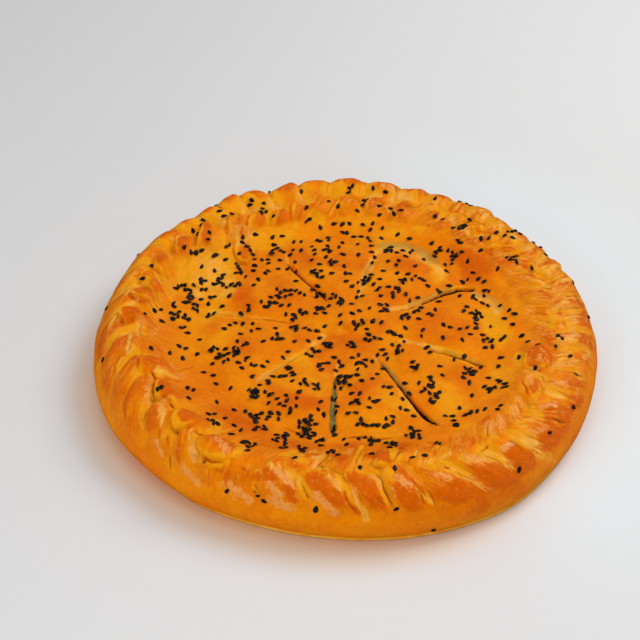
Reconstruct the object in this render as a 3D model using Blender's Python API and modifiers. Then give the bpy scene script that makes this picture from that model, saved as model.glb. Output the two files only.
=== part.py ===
"""Round covered meat pie with a crimped braid rim.

One baked piece, 240 mm across and about 34 mm high, standing on its flat
underside. Metres, +Z up; the origin is under the middle of the pie, and the
side that the table of angles below calls 270 degrees faces -Y.

The crust is a turned profile (underside, bulging wall, braid ring, sunken lid)
whose points are then moved by a few rules:
  * the outline and the tucked-in foot wander by a few millimetres,
  * two rows of puffed folds meet along the crimp line on top of the rim and
    lean the same way, like a chevron,
  * the lid is pillowed between eight radial vents, four of them open.
"""

import math

import bpy
import numpy as np

MM = 0.001

# ---------------------------------------------------------------- dimensions
PIE_RADIUS = 120.0        # mm, widest point of the wall
WAIST_Z = 13.0            # height of that widest point
RIM_Z = 32.0              # top of the rim under the folds
LID_Z = 26.2              # the sunken lid
GROOVE_R, GROOVE_Z = 69.0, 24.6   # where the lid meets the inner slope
CRIMP_R = 100.0           # crimp line between the two rows of folds
FOOT_R = 115.9            # edge of the flat underside

FOLDS = 43                # folds in each row
COLUMNS_PER_FOLD = 5
FOLD_HEIGHT = 2.7         # how far a fold puffs up over its creases
OUTER_FOLD_REACH = 26.0   # length of an outer fold down the wall
INNER_FOLD_REACH = 17.0   # length of an inner fold towards the lid
INNER_LEAN = 6.0          # degrees that an inner fold leans over its length
INNER_OFFSET = 0.4        # inner creases sit this share of a fold further on

PILLOW = 1.3              # how far the lid swells between two vents
VENT_DEPTH = 4.2
VENT_WIDTH = 2.0

# Turned profile, top centre down to the edge of the underside:
# radius, height, and how far each point follows the wandering of the crimp
# line, of the outline and of the foot.
PROFILE = (
    (0.0, LID_Z, 0.00, 0.00, 0.00),
    (22.0, LID_Z + 0.1, 0.00, 0.00, 0.00),
    (42.0, LID_Z + 0.2, 0.00, 0.00, 0.00),
    (58.0, LID_Z - 0.1, 0.05, 0.00, 0.00),
    (GROOVE_R, GROOVE_Z, 0.15, 0.05, 0.00),
    (76.0, 25.5, 0.35, 0.10, 0.00),
    (83.0, 28.0, 0.70, 0.20, 0.00),
    (91.0, 30.2, 0.95, 0.35, 0.00),
    (CRIMP_R, RIM_Z - 1.6, 1.00, 0.50, 0.00),
    (107.0, RIM_Z - 3.4, 0.90, 0.65, 0.00),
    (113.0, 25.2, 0.60, 0.80, 0.00),
    (117.4, 20.0, 0.25, 0.95, 0.00),
    (PIE_RADIUS, WAIST_Z, 0.00, 1.00, 0.00),
    (119.2, 6.8, 0.00, 1.00, 0.35),
    (117.0, 2.6, 0.00, 1.00, 0.85),
    (116.2, 1.2, 0.00, 1.00, 1.00),
    (FOOT_R, 0.0, 0.00, 1.00, 1.00),
)
# Rings of the mesh, as places along PROFILE counted in points.
RINGS = (
    0, 1.3, 2.3, 3.2, 4, 5, 6, 6.6, 7.2, 7.7, 8.1, 8.5,
    9, 9.5, 10, 10.6, 11.2, 11.8, 12.4, 13.1, 14, 15, 16,
)

# Wandering, as (cosine, sine) amplitudes of one, two, three ... waves a turn.
OUTLINE_WAVES = ((-0.12, 0.0), (0.0, -0.86), (-0.5, -0.46), (-0.2, 0.56), (0.1, 0.29))  # mm
FOOT_WAVES = ((-0.6, 0.9), (0.35, 0.7), (-0.35, 0.55))  # mm
FOOT_TUCK = 2.0           # mm, mean tuck of the foot
CRIMP_SHIFT = (-0.3, -3.5)   # mm, the crimp ring is off centre
RIM_TILT = 2.0            # mm, the rim is this much higher at +Y than in the middle

# Fold spacing in degrees: even spacing plus waves, counted over one turn.
FIRST_CREASE = 223.25
SPACING_WAVES = ((-1.14, 6.77), (-0.93, -0.11), (1.15, 0.02), (0.73, -0.63))
# Lean of the outer folds in degrees over LEAN_RUN mm beyond the crimp.
LEAN_MEAN, LEAN_WAVES, LEAN_RUN = 3.6, ((0.45, -1.75), (1.9, -0.1)), 16.0

# Vents in the lid: outer end, inner end (x, y in mm), open or healed.
VENTS = (
    ((-29.0, 46.0), (-9.0, 19.0), True),
    ((17.0, 58.0), (5.0, 20.0), False),
    ((60.0, 30.0), (22.0, 13.0), True),
    ((64.0, -24.0), (25.0, -9.0), False),
    ((40.0, -67.0), (13.0, -19.0), True),
    ((-6.0, -70.0), (-3.0, -24.0), True),
    ((-43.0, -40.0), (-10.0, -7.0), False),
    ((-64.0, 13.0), (-23.0, 3.0), False),
)

CRUST_COLOR = (0.72, 0.24, 0.018, 1.0)


def waves(angle, pairs):
    """Sum of cosines and sines of 1, 2, 3 ... turns."""
    out = np.zeros_like(angle)
    for n, (a, b) in enumerate(pairs, 1):
        out = out + a * np.cos(n * angle) + b * np.sin(n * angle)
    return out


def along_profile(place):
    """Smooth curve through PROFILE at fractional point numbers."""
    points = np.array(PROFILE)
    last = len(points) - 1
    i = np.clip(np.floor(place).astype(int), 0, last - 1)
    t = (place - i)[..., None]

    def pick(k):
        return points[np.clip(k, 0, last)]

    p0, p1, p2, p3 = pick(i - 1), pick(i), pick(i + 1), pick(i + 2)
    mirrored = p1 + (p1 - p2) * np.array([1.0, -1.0, 1.0, 1.0, 1.0])
    p0 = np.where((i == 0)[..., None], mirrored, p0)
    return 0.5 * (
        2 * p1
        + (p2 - p0) * t
        + (2 * p0 - 5 * p1 + 4 * p2 - p3) * t**2
        + (3 * p1 - p0 - 3 * p2 + p3) * t**3
    )


def crease_angle(count):
    """Angle in radians of outer crease number count, which may be fractional."""
    turn = 2 * np.pi * count / FOLDS
    return np.radians(FIRST_CREASE + 360.0 * count / FOLDS + waves(turn, SPACING_WAVES))


def dome(across, along, blunt=0.25, fade=0.5):
    """Height of a puffed fold: across -1..1 from crease to crease, along 0..1."""
    along = np.clip(along, 0.0, 1.0)
    tip = np.sqrt(np.clip(1 - (1 - np.minimum(along / blunt, 1.0)) ** 2, 0, 1))
    tail = np.clip((1 - along) / (1 - fade), 0.0, 1.0)
    tail = tail * tail * (3 - 2 * tail)
    side = np.clip(1 - np.abs(across) ** 2.2, 0.0, 1.0) ** 0.6
    return side * tip * tail


def ring_distance(place):
    """Distance in mm from the crimp line, along the profile, positive outwards."""
    steps = np.linspace(0, len(PROFILE) - 1, 1601)
    rz = along_profile(steps)[:, :2]
    run = np.concatenate([[0], np.cumsum(np.hypot(*np.diff(rz, axis=0).T))])
    return np.interp(place, steps, run) - np.interp(8.0, steps, run)


def vent_distance(x, y):
    """Distance in mm from the nearest vent."""
    best = np.full_like(x, 1e9)
    for (ox, oy), (ix, iy), _ in VENTS:
        ax, ay = ix - ox, iy - oy
        t = np.clip(((x - ox) * ax + (y - oy) * ay) / (ax * ax + ay * ay), 0, 1)
        best = np.minimum(best, np.hypot(x - ox - t * ax, y - oy - t * ay))
    return best


def crust_surface(count, place):
    """Points of the crust for column numbers count and profile places place."""
    away = ring_distance(place)
    seam = crease_angle(count)
    lean = np.radians(LEAN_MEAN + waves(seam, LEAN_WAVES))
    angle = seam + lean * np.clip(away / LEAN_RUN, 0, 1.4)
    angle = angle + np.radians(INNER_LEAN) * np.clip(-away / INNER_FOLD_REACH, 0, 1)

    q = along_profile(place)
    eps = 0.05
    ahead, behind = along_profile(place + eps), along_profile(np.maximum(place - eps, 0))
    dr, dz = ahead[..., 0] - behind[..., 0], ahead[..., 1] - behind[..., 1]
    size = np.maximum(np.hypot(dr, dz), 1e-9)
    nr, nz = -dz / size, dr / size

    outer = dome(2 * (count % 1.0) - 1, (away + 2.0) / OUTER_FOLD_REACH)
    shifted = (count - INNER_OFFSET) % 1.0
    inner = dome(2 * shifted - 1, (2.5 - away) / INNER_FOLD_REACH)
    puff = FOLD_HEIGHT * np.maximum(outer, inner)

    shift = CRIMP_SHIFT[0] * np.cos(angle) + CRIMP_SHIFT[1] * np.sin(angle)
    r = q[..., 0] + q[..., 2] * shift + q[..., 3] * waves(angle, OUTLINE_WAVES)
    r = r - q[..., 4] * (FOOT_TUCK + waves(angle, FOOT_WAVES))
    z = q[..., 1] * (1 + RIM_TILT * np.sin(angle) / RIM_Z)
    r, z = r + nr * puff, z + nz * puff
    x, y = r * np.cos(angle), r * np.sin(angle)

    on_lid = np.clip((GROOVE_R + 4 - r) / 10.0, 0, 1) * np.clip(r / 18.0, 0, 1)
    swell = 1 - np.exp(-((vent_distance(x, y) / 7.0) ** 2))
    z = z + PILLOW * (swell - 0.5) * on_lid
    return np.stack([x, y, z], axis=-1)


def new_material(name, color, roughness):
    mat = bpy.data.materials.new(name)
    mat.use_nodes = True
    shader = mat.node_tree.nodes["Principled BSDF"]
    shader.inputs["Base Color"].default_value = color
    shader.inputs["Roughness"].default_value = roughness
    shader.inputs["Metallic"].default_value = 0.0
    mat.diffuse_color = color
    return mat


def turned_crust(collection):
    """The profile turned about Z by a Screw modifier, as an object."""
    rings = along_profile(np.array(RINGS, float))[:, :2]
    outline = [(r * MM, 0.0, z * MM) for r, z in rings] + [(0.0, 0.0, 0.0)]
    mesh = bpy.data.meshes.new("crust_profile")
    mesh.from_pydata(outline, [(i, i + 1) for i in range(len(outline) - 1)], [])
    turned = bpy.data.objects.new("crust_profile", mesh)
    collection.objects.link(turned)
    screw = turned.modifiers.new("turn", "SCREW")
    screw.axis = "Z"
    screw.angle = 2 * math.pi
    screw.steps = screw.render_steps = FOLDS * COLUMNS_PER_FOLD
    screw.use_merge_vertices = True
    screw.merge_threshold = 0.00001
    screw.use_normal_calculate = True
    bpy.context.view_layer.update()
    depsgraph = bpy.context.evaluated_depsgraph_get()
    made = bpy.data.meshes.new_from_object(turned.evaluated_get(depsgraph))
    bpy.data.objects.remove(turned)
    bpy.data.meshes.remove(mesh)

    made.name = "meat_pie"
    crust = bpy.data.objects.new("meat_pie", made)
    collection.objects.link(crust)
    return crust, rings


def shape_crust(crust, rings):
    """Moves each turned point to its place on the folded crust."""
    mesh = crust.data
    found = np.empty(len(mesh.vertices) * 3)
    mesh.vertices.foreach_get("co", found)
    found = found.reshape(-1, 3) / MM
    r, z = np.hypot(found[:, 0], found[:, 1]), found[:, 2]
    ring = np.argmin(np.hypot(r[:, None] - rings[:, 0], z[:, None] - rings[:, 1]), axis=1)
    column = np.round(np.arctan2(found[:, 1], found[:, 0]) / (2 * np.pi) * FOLDS * COLUMNS_PER_FOLD)
    place = np.array(RINGS, float)[ring]
    shaped = crust_surface(column / COLUMNS_PER_FOLD, place)

    middle = r < 1e-3
    top, foot = middle & (z > 1), middle & (z <= 1)
    shaped[top] = (0.0, 0.0, LID_Z)
    shaped[foot] = 0.0
    on_foot = (ring == len(RINGS) - 1) & ~middle
    shaped[on_foot, 2] = 0.0
    low, high = shaped.min(axis=0), shaped.max(axis=0)
    shaped[:, :2] -= (low + high)[:2] / 2
    mesh.vertices.foreach_set("co", (shaped * MM).ravel())
    mesh.update()
    mesh.shade_smooth()
    mesh.set_sharp_from_angle(angle=math.radians(50))
    return (low + high)[:2] / 2


def cut_vents(crust, cutters, middle):
    """Cuts the open vents with boat-shaped cutters laid along them."""
    for number, ((ox, oy), (ix, iy), is_open) in enumerate(VENTS):
        if not is_open:
            continue
        length = math.hypot(ox - ix, oy - iy)
        bpy.ops.mesh.primitive_uv_sphere_add(segments=12, ring_count=6, radius=1.0)
        cutter = bpy.context.active_object
        cutter.name = "vent_cutter_%d" % number
        for vertex in cutter.data.vertices:
            x, y, z = vertex.co
            vertex.co = (x * length / 2 * MM, y * VENT_WIDTH / 2 * 1.05 * MM, z * VENT_DEPTH * MM)
        cutter.location = (
            ((ox + ix) / 2 - middle[0]) * MM,
            ((oy + iy) / 2 - middle[1]) * MM,
            (LID_Z - 0.4) * MM,
        )
        cutter.rotation_euler = (0.0, 0.0, math.atan2(oy - iy, ox - ix))
        for old in list(cutter.users_collection):
            old.objects.unlink(cutter)
        cutters.objects.link(cutter)
        cutter.hide_render = True
        cutter.display_type = "WIRE"
        cut = crust.modifiers.new("vent_%d" % number, "BOOLEAN")
        cut.operation = "DIFFERENCE"
        cut.solver = "EXACT"
        cut.object = cutter


def build():
    for old in list(bpy.data.objects):
        bpy.data.objects.remove(old, do_unlink=True)
    parts = bpy.data.collections.new("meat_pie")
    cutters = bpy.data.collections.new("cutters")
    bpy.context.scene.collection.children.link(parts)
    bpy.context.scene.collection.children.link(cutters)

    crust, rings = turned_crust(parts)
    middle = shape_crust(crust, rings)
    crust.data.materials.clear()
    crust.data.materials.append(new_material("crust", CRUST_COLOR, 0.35))
    cut_vents(crust, cutters, middle)


build()
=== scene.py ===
import math

import bpy
import numpy as np
from mathutils import Matrix, Vector
from mathutils.bvhtree import BVHTree


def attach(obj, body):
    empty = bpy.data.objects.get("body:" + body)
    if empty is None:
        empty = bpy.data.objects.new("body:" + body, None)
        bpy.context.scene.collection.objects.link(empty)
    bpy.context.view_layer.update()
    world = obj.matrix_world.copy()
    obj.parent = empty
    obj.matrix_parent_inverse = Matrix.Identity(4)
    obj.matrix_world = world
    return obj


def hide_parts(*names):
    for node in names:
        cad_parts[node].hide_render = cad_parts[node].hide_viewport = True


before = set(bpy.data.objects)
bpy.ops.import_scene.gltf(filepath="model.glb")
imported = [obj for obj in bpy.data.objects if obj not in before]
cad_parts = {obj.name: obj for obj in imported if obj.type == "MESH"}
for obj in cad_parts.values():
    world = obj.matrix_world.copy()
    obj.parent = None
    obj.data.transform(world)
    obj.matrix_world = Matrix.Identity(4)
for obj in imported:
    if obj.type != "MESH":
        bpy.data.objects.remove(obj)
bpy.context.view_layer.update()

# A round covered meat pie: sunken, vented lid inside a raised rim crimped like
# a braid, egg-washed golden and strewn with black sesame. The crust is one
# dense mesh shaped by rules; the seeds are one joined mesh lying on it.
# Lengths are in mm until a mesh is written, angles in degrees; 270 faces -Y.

MM = 0.001

# ------------------------------------------------------------ crust dimensions
RIM_Z = 32.0
LID_Z = 26.2
GROOVE_R = 69.0
# Turned profile from the middle of the lid to the foot: radius, height, and how
# far each point follows the crimp line, the outline and the foot.
PROFILE = np.array((
    (0.0, LID_Z, 0.00, 0.00, 0.00),
    (22.0, LID_Z + 0.1, 0.00, 0.00, 0.00),
    (42.0, LID_Z + 0.2, 0.00, 0.00, 0.00),
    (58.0, LID_Z - 0.1, 0.05, 0.00, 0.00),
    (GROOVE_R, 24.6, 0.15, 0.05, 0.00),
    (76.0, 25.5, 0.35, 0.10, 0.00),
    (83.0, 28.0, 0.70, 0.20, 0.00),
    (91.0, 30.2, 0.95, 0.35, 0.00),
    (100.0, RIM_Z - 1.6, 1.00, 0.50, 0.00),
    (107.0, RIM_Z - 3.4, 0.90, 0.65, 0.00),
    (113.0, 25.2, 0.60, 0.80, 0.00),
    (117.4, 20.0, 0.25, 0.95, 0.00),
    (120.0, 13.0, 0.00, 1.00, 0.00),
    (119.2, 6.8, 0.00, 1.00, 0.35),
    (117.0, 2.6, 0.00, 1.00, 0.85),
    (116.2, 1.2, 0.00, 1.00, 1.00),
    (115.9, 0.0, 0.00, 1.00, 1.00),
))
CRIMP_PLACE = 8.0
# Wandering, as (cosine, sine) amplitudes in mm of one, two, three ... waves.
OUTLINE_WAVES = ((-0.12, 0.0), (0.0, -0.86), (-0.5, -0.46), (-0.2, 0.56), (0.1, 0.29))
OUTLINE_BULGES = ((53.0, 14.0, 4.9), (25.0, 13.0, 2.4), (0.0, 9.0, 0.6), (111.0, 3.8, -2.6), (119.5, 5.0, 2.4), (151.0, 8.0, 2.2),
                  (205.0, 10.0, 0.8), (309.0, 9.0, 0.9), (235.0, 9.0, 0.8))
FOOT_WAVES = ((-0.6, 0.9), (0.35, 0.7), (-0.35, 0.55))
FOOT_TUCK = 2.0
CRIMP_SHIFT = (-0.3, -3.5)
RIM_TILT = 2.0

# Outer folds: angle of the crease on their -angle side at the crimp line, and
# how many degrees that crease leans over the first 16 mm of the wall.
OUTER = (
    (3.0, 5.0), (9.0, 6.0), (17.3, 5.7), (26.0, 5.0), (33.0, 4.0), (40.0, 4.0),
    (47.0, 3.5), (54.0, 3.0), (61.0, 1.0), (68.0, -1.5), (76.0, -1.0), (84.5, -1.0),
    (94.5, 0.0), (103.0, 0.0), (112.0, 1.5), (119.0, 1.0), (126.0, 2.0), (133.0, 2.0),
    (140.5, 2.5), (148.0, 3.0), (157.0, 3.0), (166.0, 4.0), (175.0, 5.0), (185.0, 5.0),
    (195.0, 7.0), (203.0, 6.0), (213.0, 4.5), (224.8, 3.8), (232.0, 4.0), (239.5, 1.5),
    (248.5, 2.0), (257.0, 6.0), (269.0, 3.7), (278.0, 2.5), (286.0, 3.5), (295.0, 7.0),
    (305.5, 4.0), (313.6, 6.0), (323.6, 6.0), (333.5, 4.5), (341.0, 6.0), (348.6, 5.4),
    (355.5, 4.5),
)
# Inner folds: angle and radius of the rounded tip, lean in degrees inwards, and
# relative height. They lie over the inner ends of the outer folds.
INNER = (
    (2.0, 104.0, 6, 0.9), (8.5, 103.0, 6, 0.9), (16.5, 102.0, 6, 1.0), (25.0, 102.0, 6, 1.0),
    (32.0, 101.0, 7, 0.9), (39.0, 101.0, 7, 0.9), (46.0, 100.0, 7, 0.9), (53.0, 99.0, 7, 0.9),
    (60.0, 98.0, 6, 0.8), (66.5, 98.0, 6, 0.7), (72.0, 98.5, 7, 1.0), (81.6, 98.5, 8, 1.05),
    (90.5, 98.5, 9, 1.05), (99.0, 99.0, 9, 1.05), (106.8, 99.5, 8, 0.9), (112.2, 99.5, 9, 1.0),
    (121.0, 98.5, 9, 1.05), (128.0, 101.5, 10, 1.1), (136.7, 103.0, 12, 1.2), (145.0, 104.5, 11, 1.1),
    (155.0, 104.5, 9, 1.0), (162.5, 104.5, 8, 0.8), (170.0, 104.5, 7, 0.8), (178.8, 105.0, 8, 0.9),
    (191.0, 99.0, 8, 0.8), (200.5, 98.5, 6, 0.9), (212.7, 101.5, 4, 1.0), (224.7, 105.5, 5, 1.05),
    (236.5, 109.5, 6, 1.0), (247.5, 106.0, 5, 0.8), (258.5, 102.0, 4, 0.9), (269.5, 99.5, 4, 1.0),
    (280.0, 96.5, 5, 1.0), (290.5, 101.0, 6, 0.8), (300.0, 103.0, 7, 0.7), (309.5, 102.0, 8, 0.7),
    (319.0, 101.5, 8, 0.8), (329.0, 101.5, 7, 1.0), (343.6, 101.0, 5, 1.15), (352.5, 102.0, 5, 0.9),
)
FOLD_HEIGHT = 2.9
INNER_HEIGHT = 2.7

# Vents, from the outer to the inner end. Each point is x, y, half width of the
# gap (0 = healed) and depth of the groove there, all in mm. Then comes how far
# the dough dips on the left (+) or right (-) side of it.
VENTS = (
    (((-29.2, 46.6, 0.30, 0.8), (-26.0, 40.2, 0.62, 2.4), (-21.8, 34.8, 0.62, 2.6), (-17.6, 29.2, 0.50, 2.2),
      (-13.2, 23.8, 0.45, 1.5), (-9.6, 18.6, 0.15, 0.7), (-7.0, 15.8, 0.0, 0.2)), 0.8),
    (((15.6, 57.0, 0.0, 0.3), (12.4, 48.0, 0.0, 0.6), (9.0, 38.0, 0.0, 0.7), (7.4, 29.0, 0.0, 0.6), (5.6, 20.5, 0.0, 0.3)), 0.4),
    (((61.6, 30.6, 0.70, 1.2), (54.0, 29.4, 1.10, 2.2), (47.4, 25.4, 0.80, 2.0), (41.0, 21.2, 0.35, 1.3),
      (35.0, 17.4, 0.20, 0.9), (29.0, 14.4, 0.05, 0.6), (22.0, 12.2, 0.0, 0.3)), 0.5),
    (((65.4, -24.6, 0.30, 0.7), (60.0, -22.6, 0.55, 1.2), (54.0, -20.2, 0.30, 0.9), (45.6, -16.4, 0.12, 0.9), (36.0, -12.4, 0.0, 0.6), (25.6, -8.6, 0.0, 0.3)), -0.3),
    (((41.4, -65.8, 0.60, 1.4), (38.4, -61.2, 1.35, 3.4), (33.0, -53.6, 1.25, 3.2), (28.4, -46.0, 0.85, 2.6),
      (24.0, -38.0, 0.60, 2.0), (19.4, -29.0, 0.45, 1.5), (13.4, -18.4, 0.10, 0.5)), -0.5),
    (((-5.4, -70.0, 0.9, 1.2), (-5.6, -66.0, 1.55, 2.1), (-5.7, -57.0, 1.30, 2.0), (-5.3, -46.0, 1.25, 2.0),
      (-4.9, -37.0, 0.80, 1.5), (-4.4, -31.0, 0.15, 0.8), (-3.4, -23.4, 0.0, 0.3)), 0.0),
    (((-41.0, -37.0, 0.0, 0.3), (-34.0, -30.4, 0.0, 0.6), (-25.6, -22.0, 0.0, 0.7), (-19.0, -15.0, 0.0, 0.6), (-10.6, -5.4, 0.0, 0.3)), 0.5),
    (((-64.6, 11.6, 0.0, 0.4), (-53.0, 8.8, 0.0, 0.7), (-43.0, 6.4, 0.0, 0.8), (-32.0, 4.2, 0.0, 0.6), (-22.0, 2.8, 0.0, 0.2)), 0.5),
)
HERB_VENT = 5     # the one whose filling shows

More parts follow.
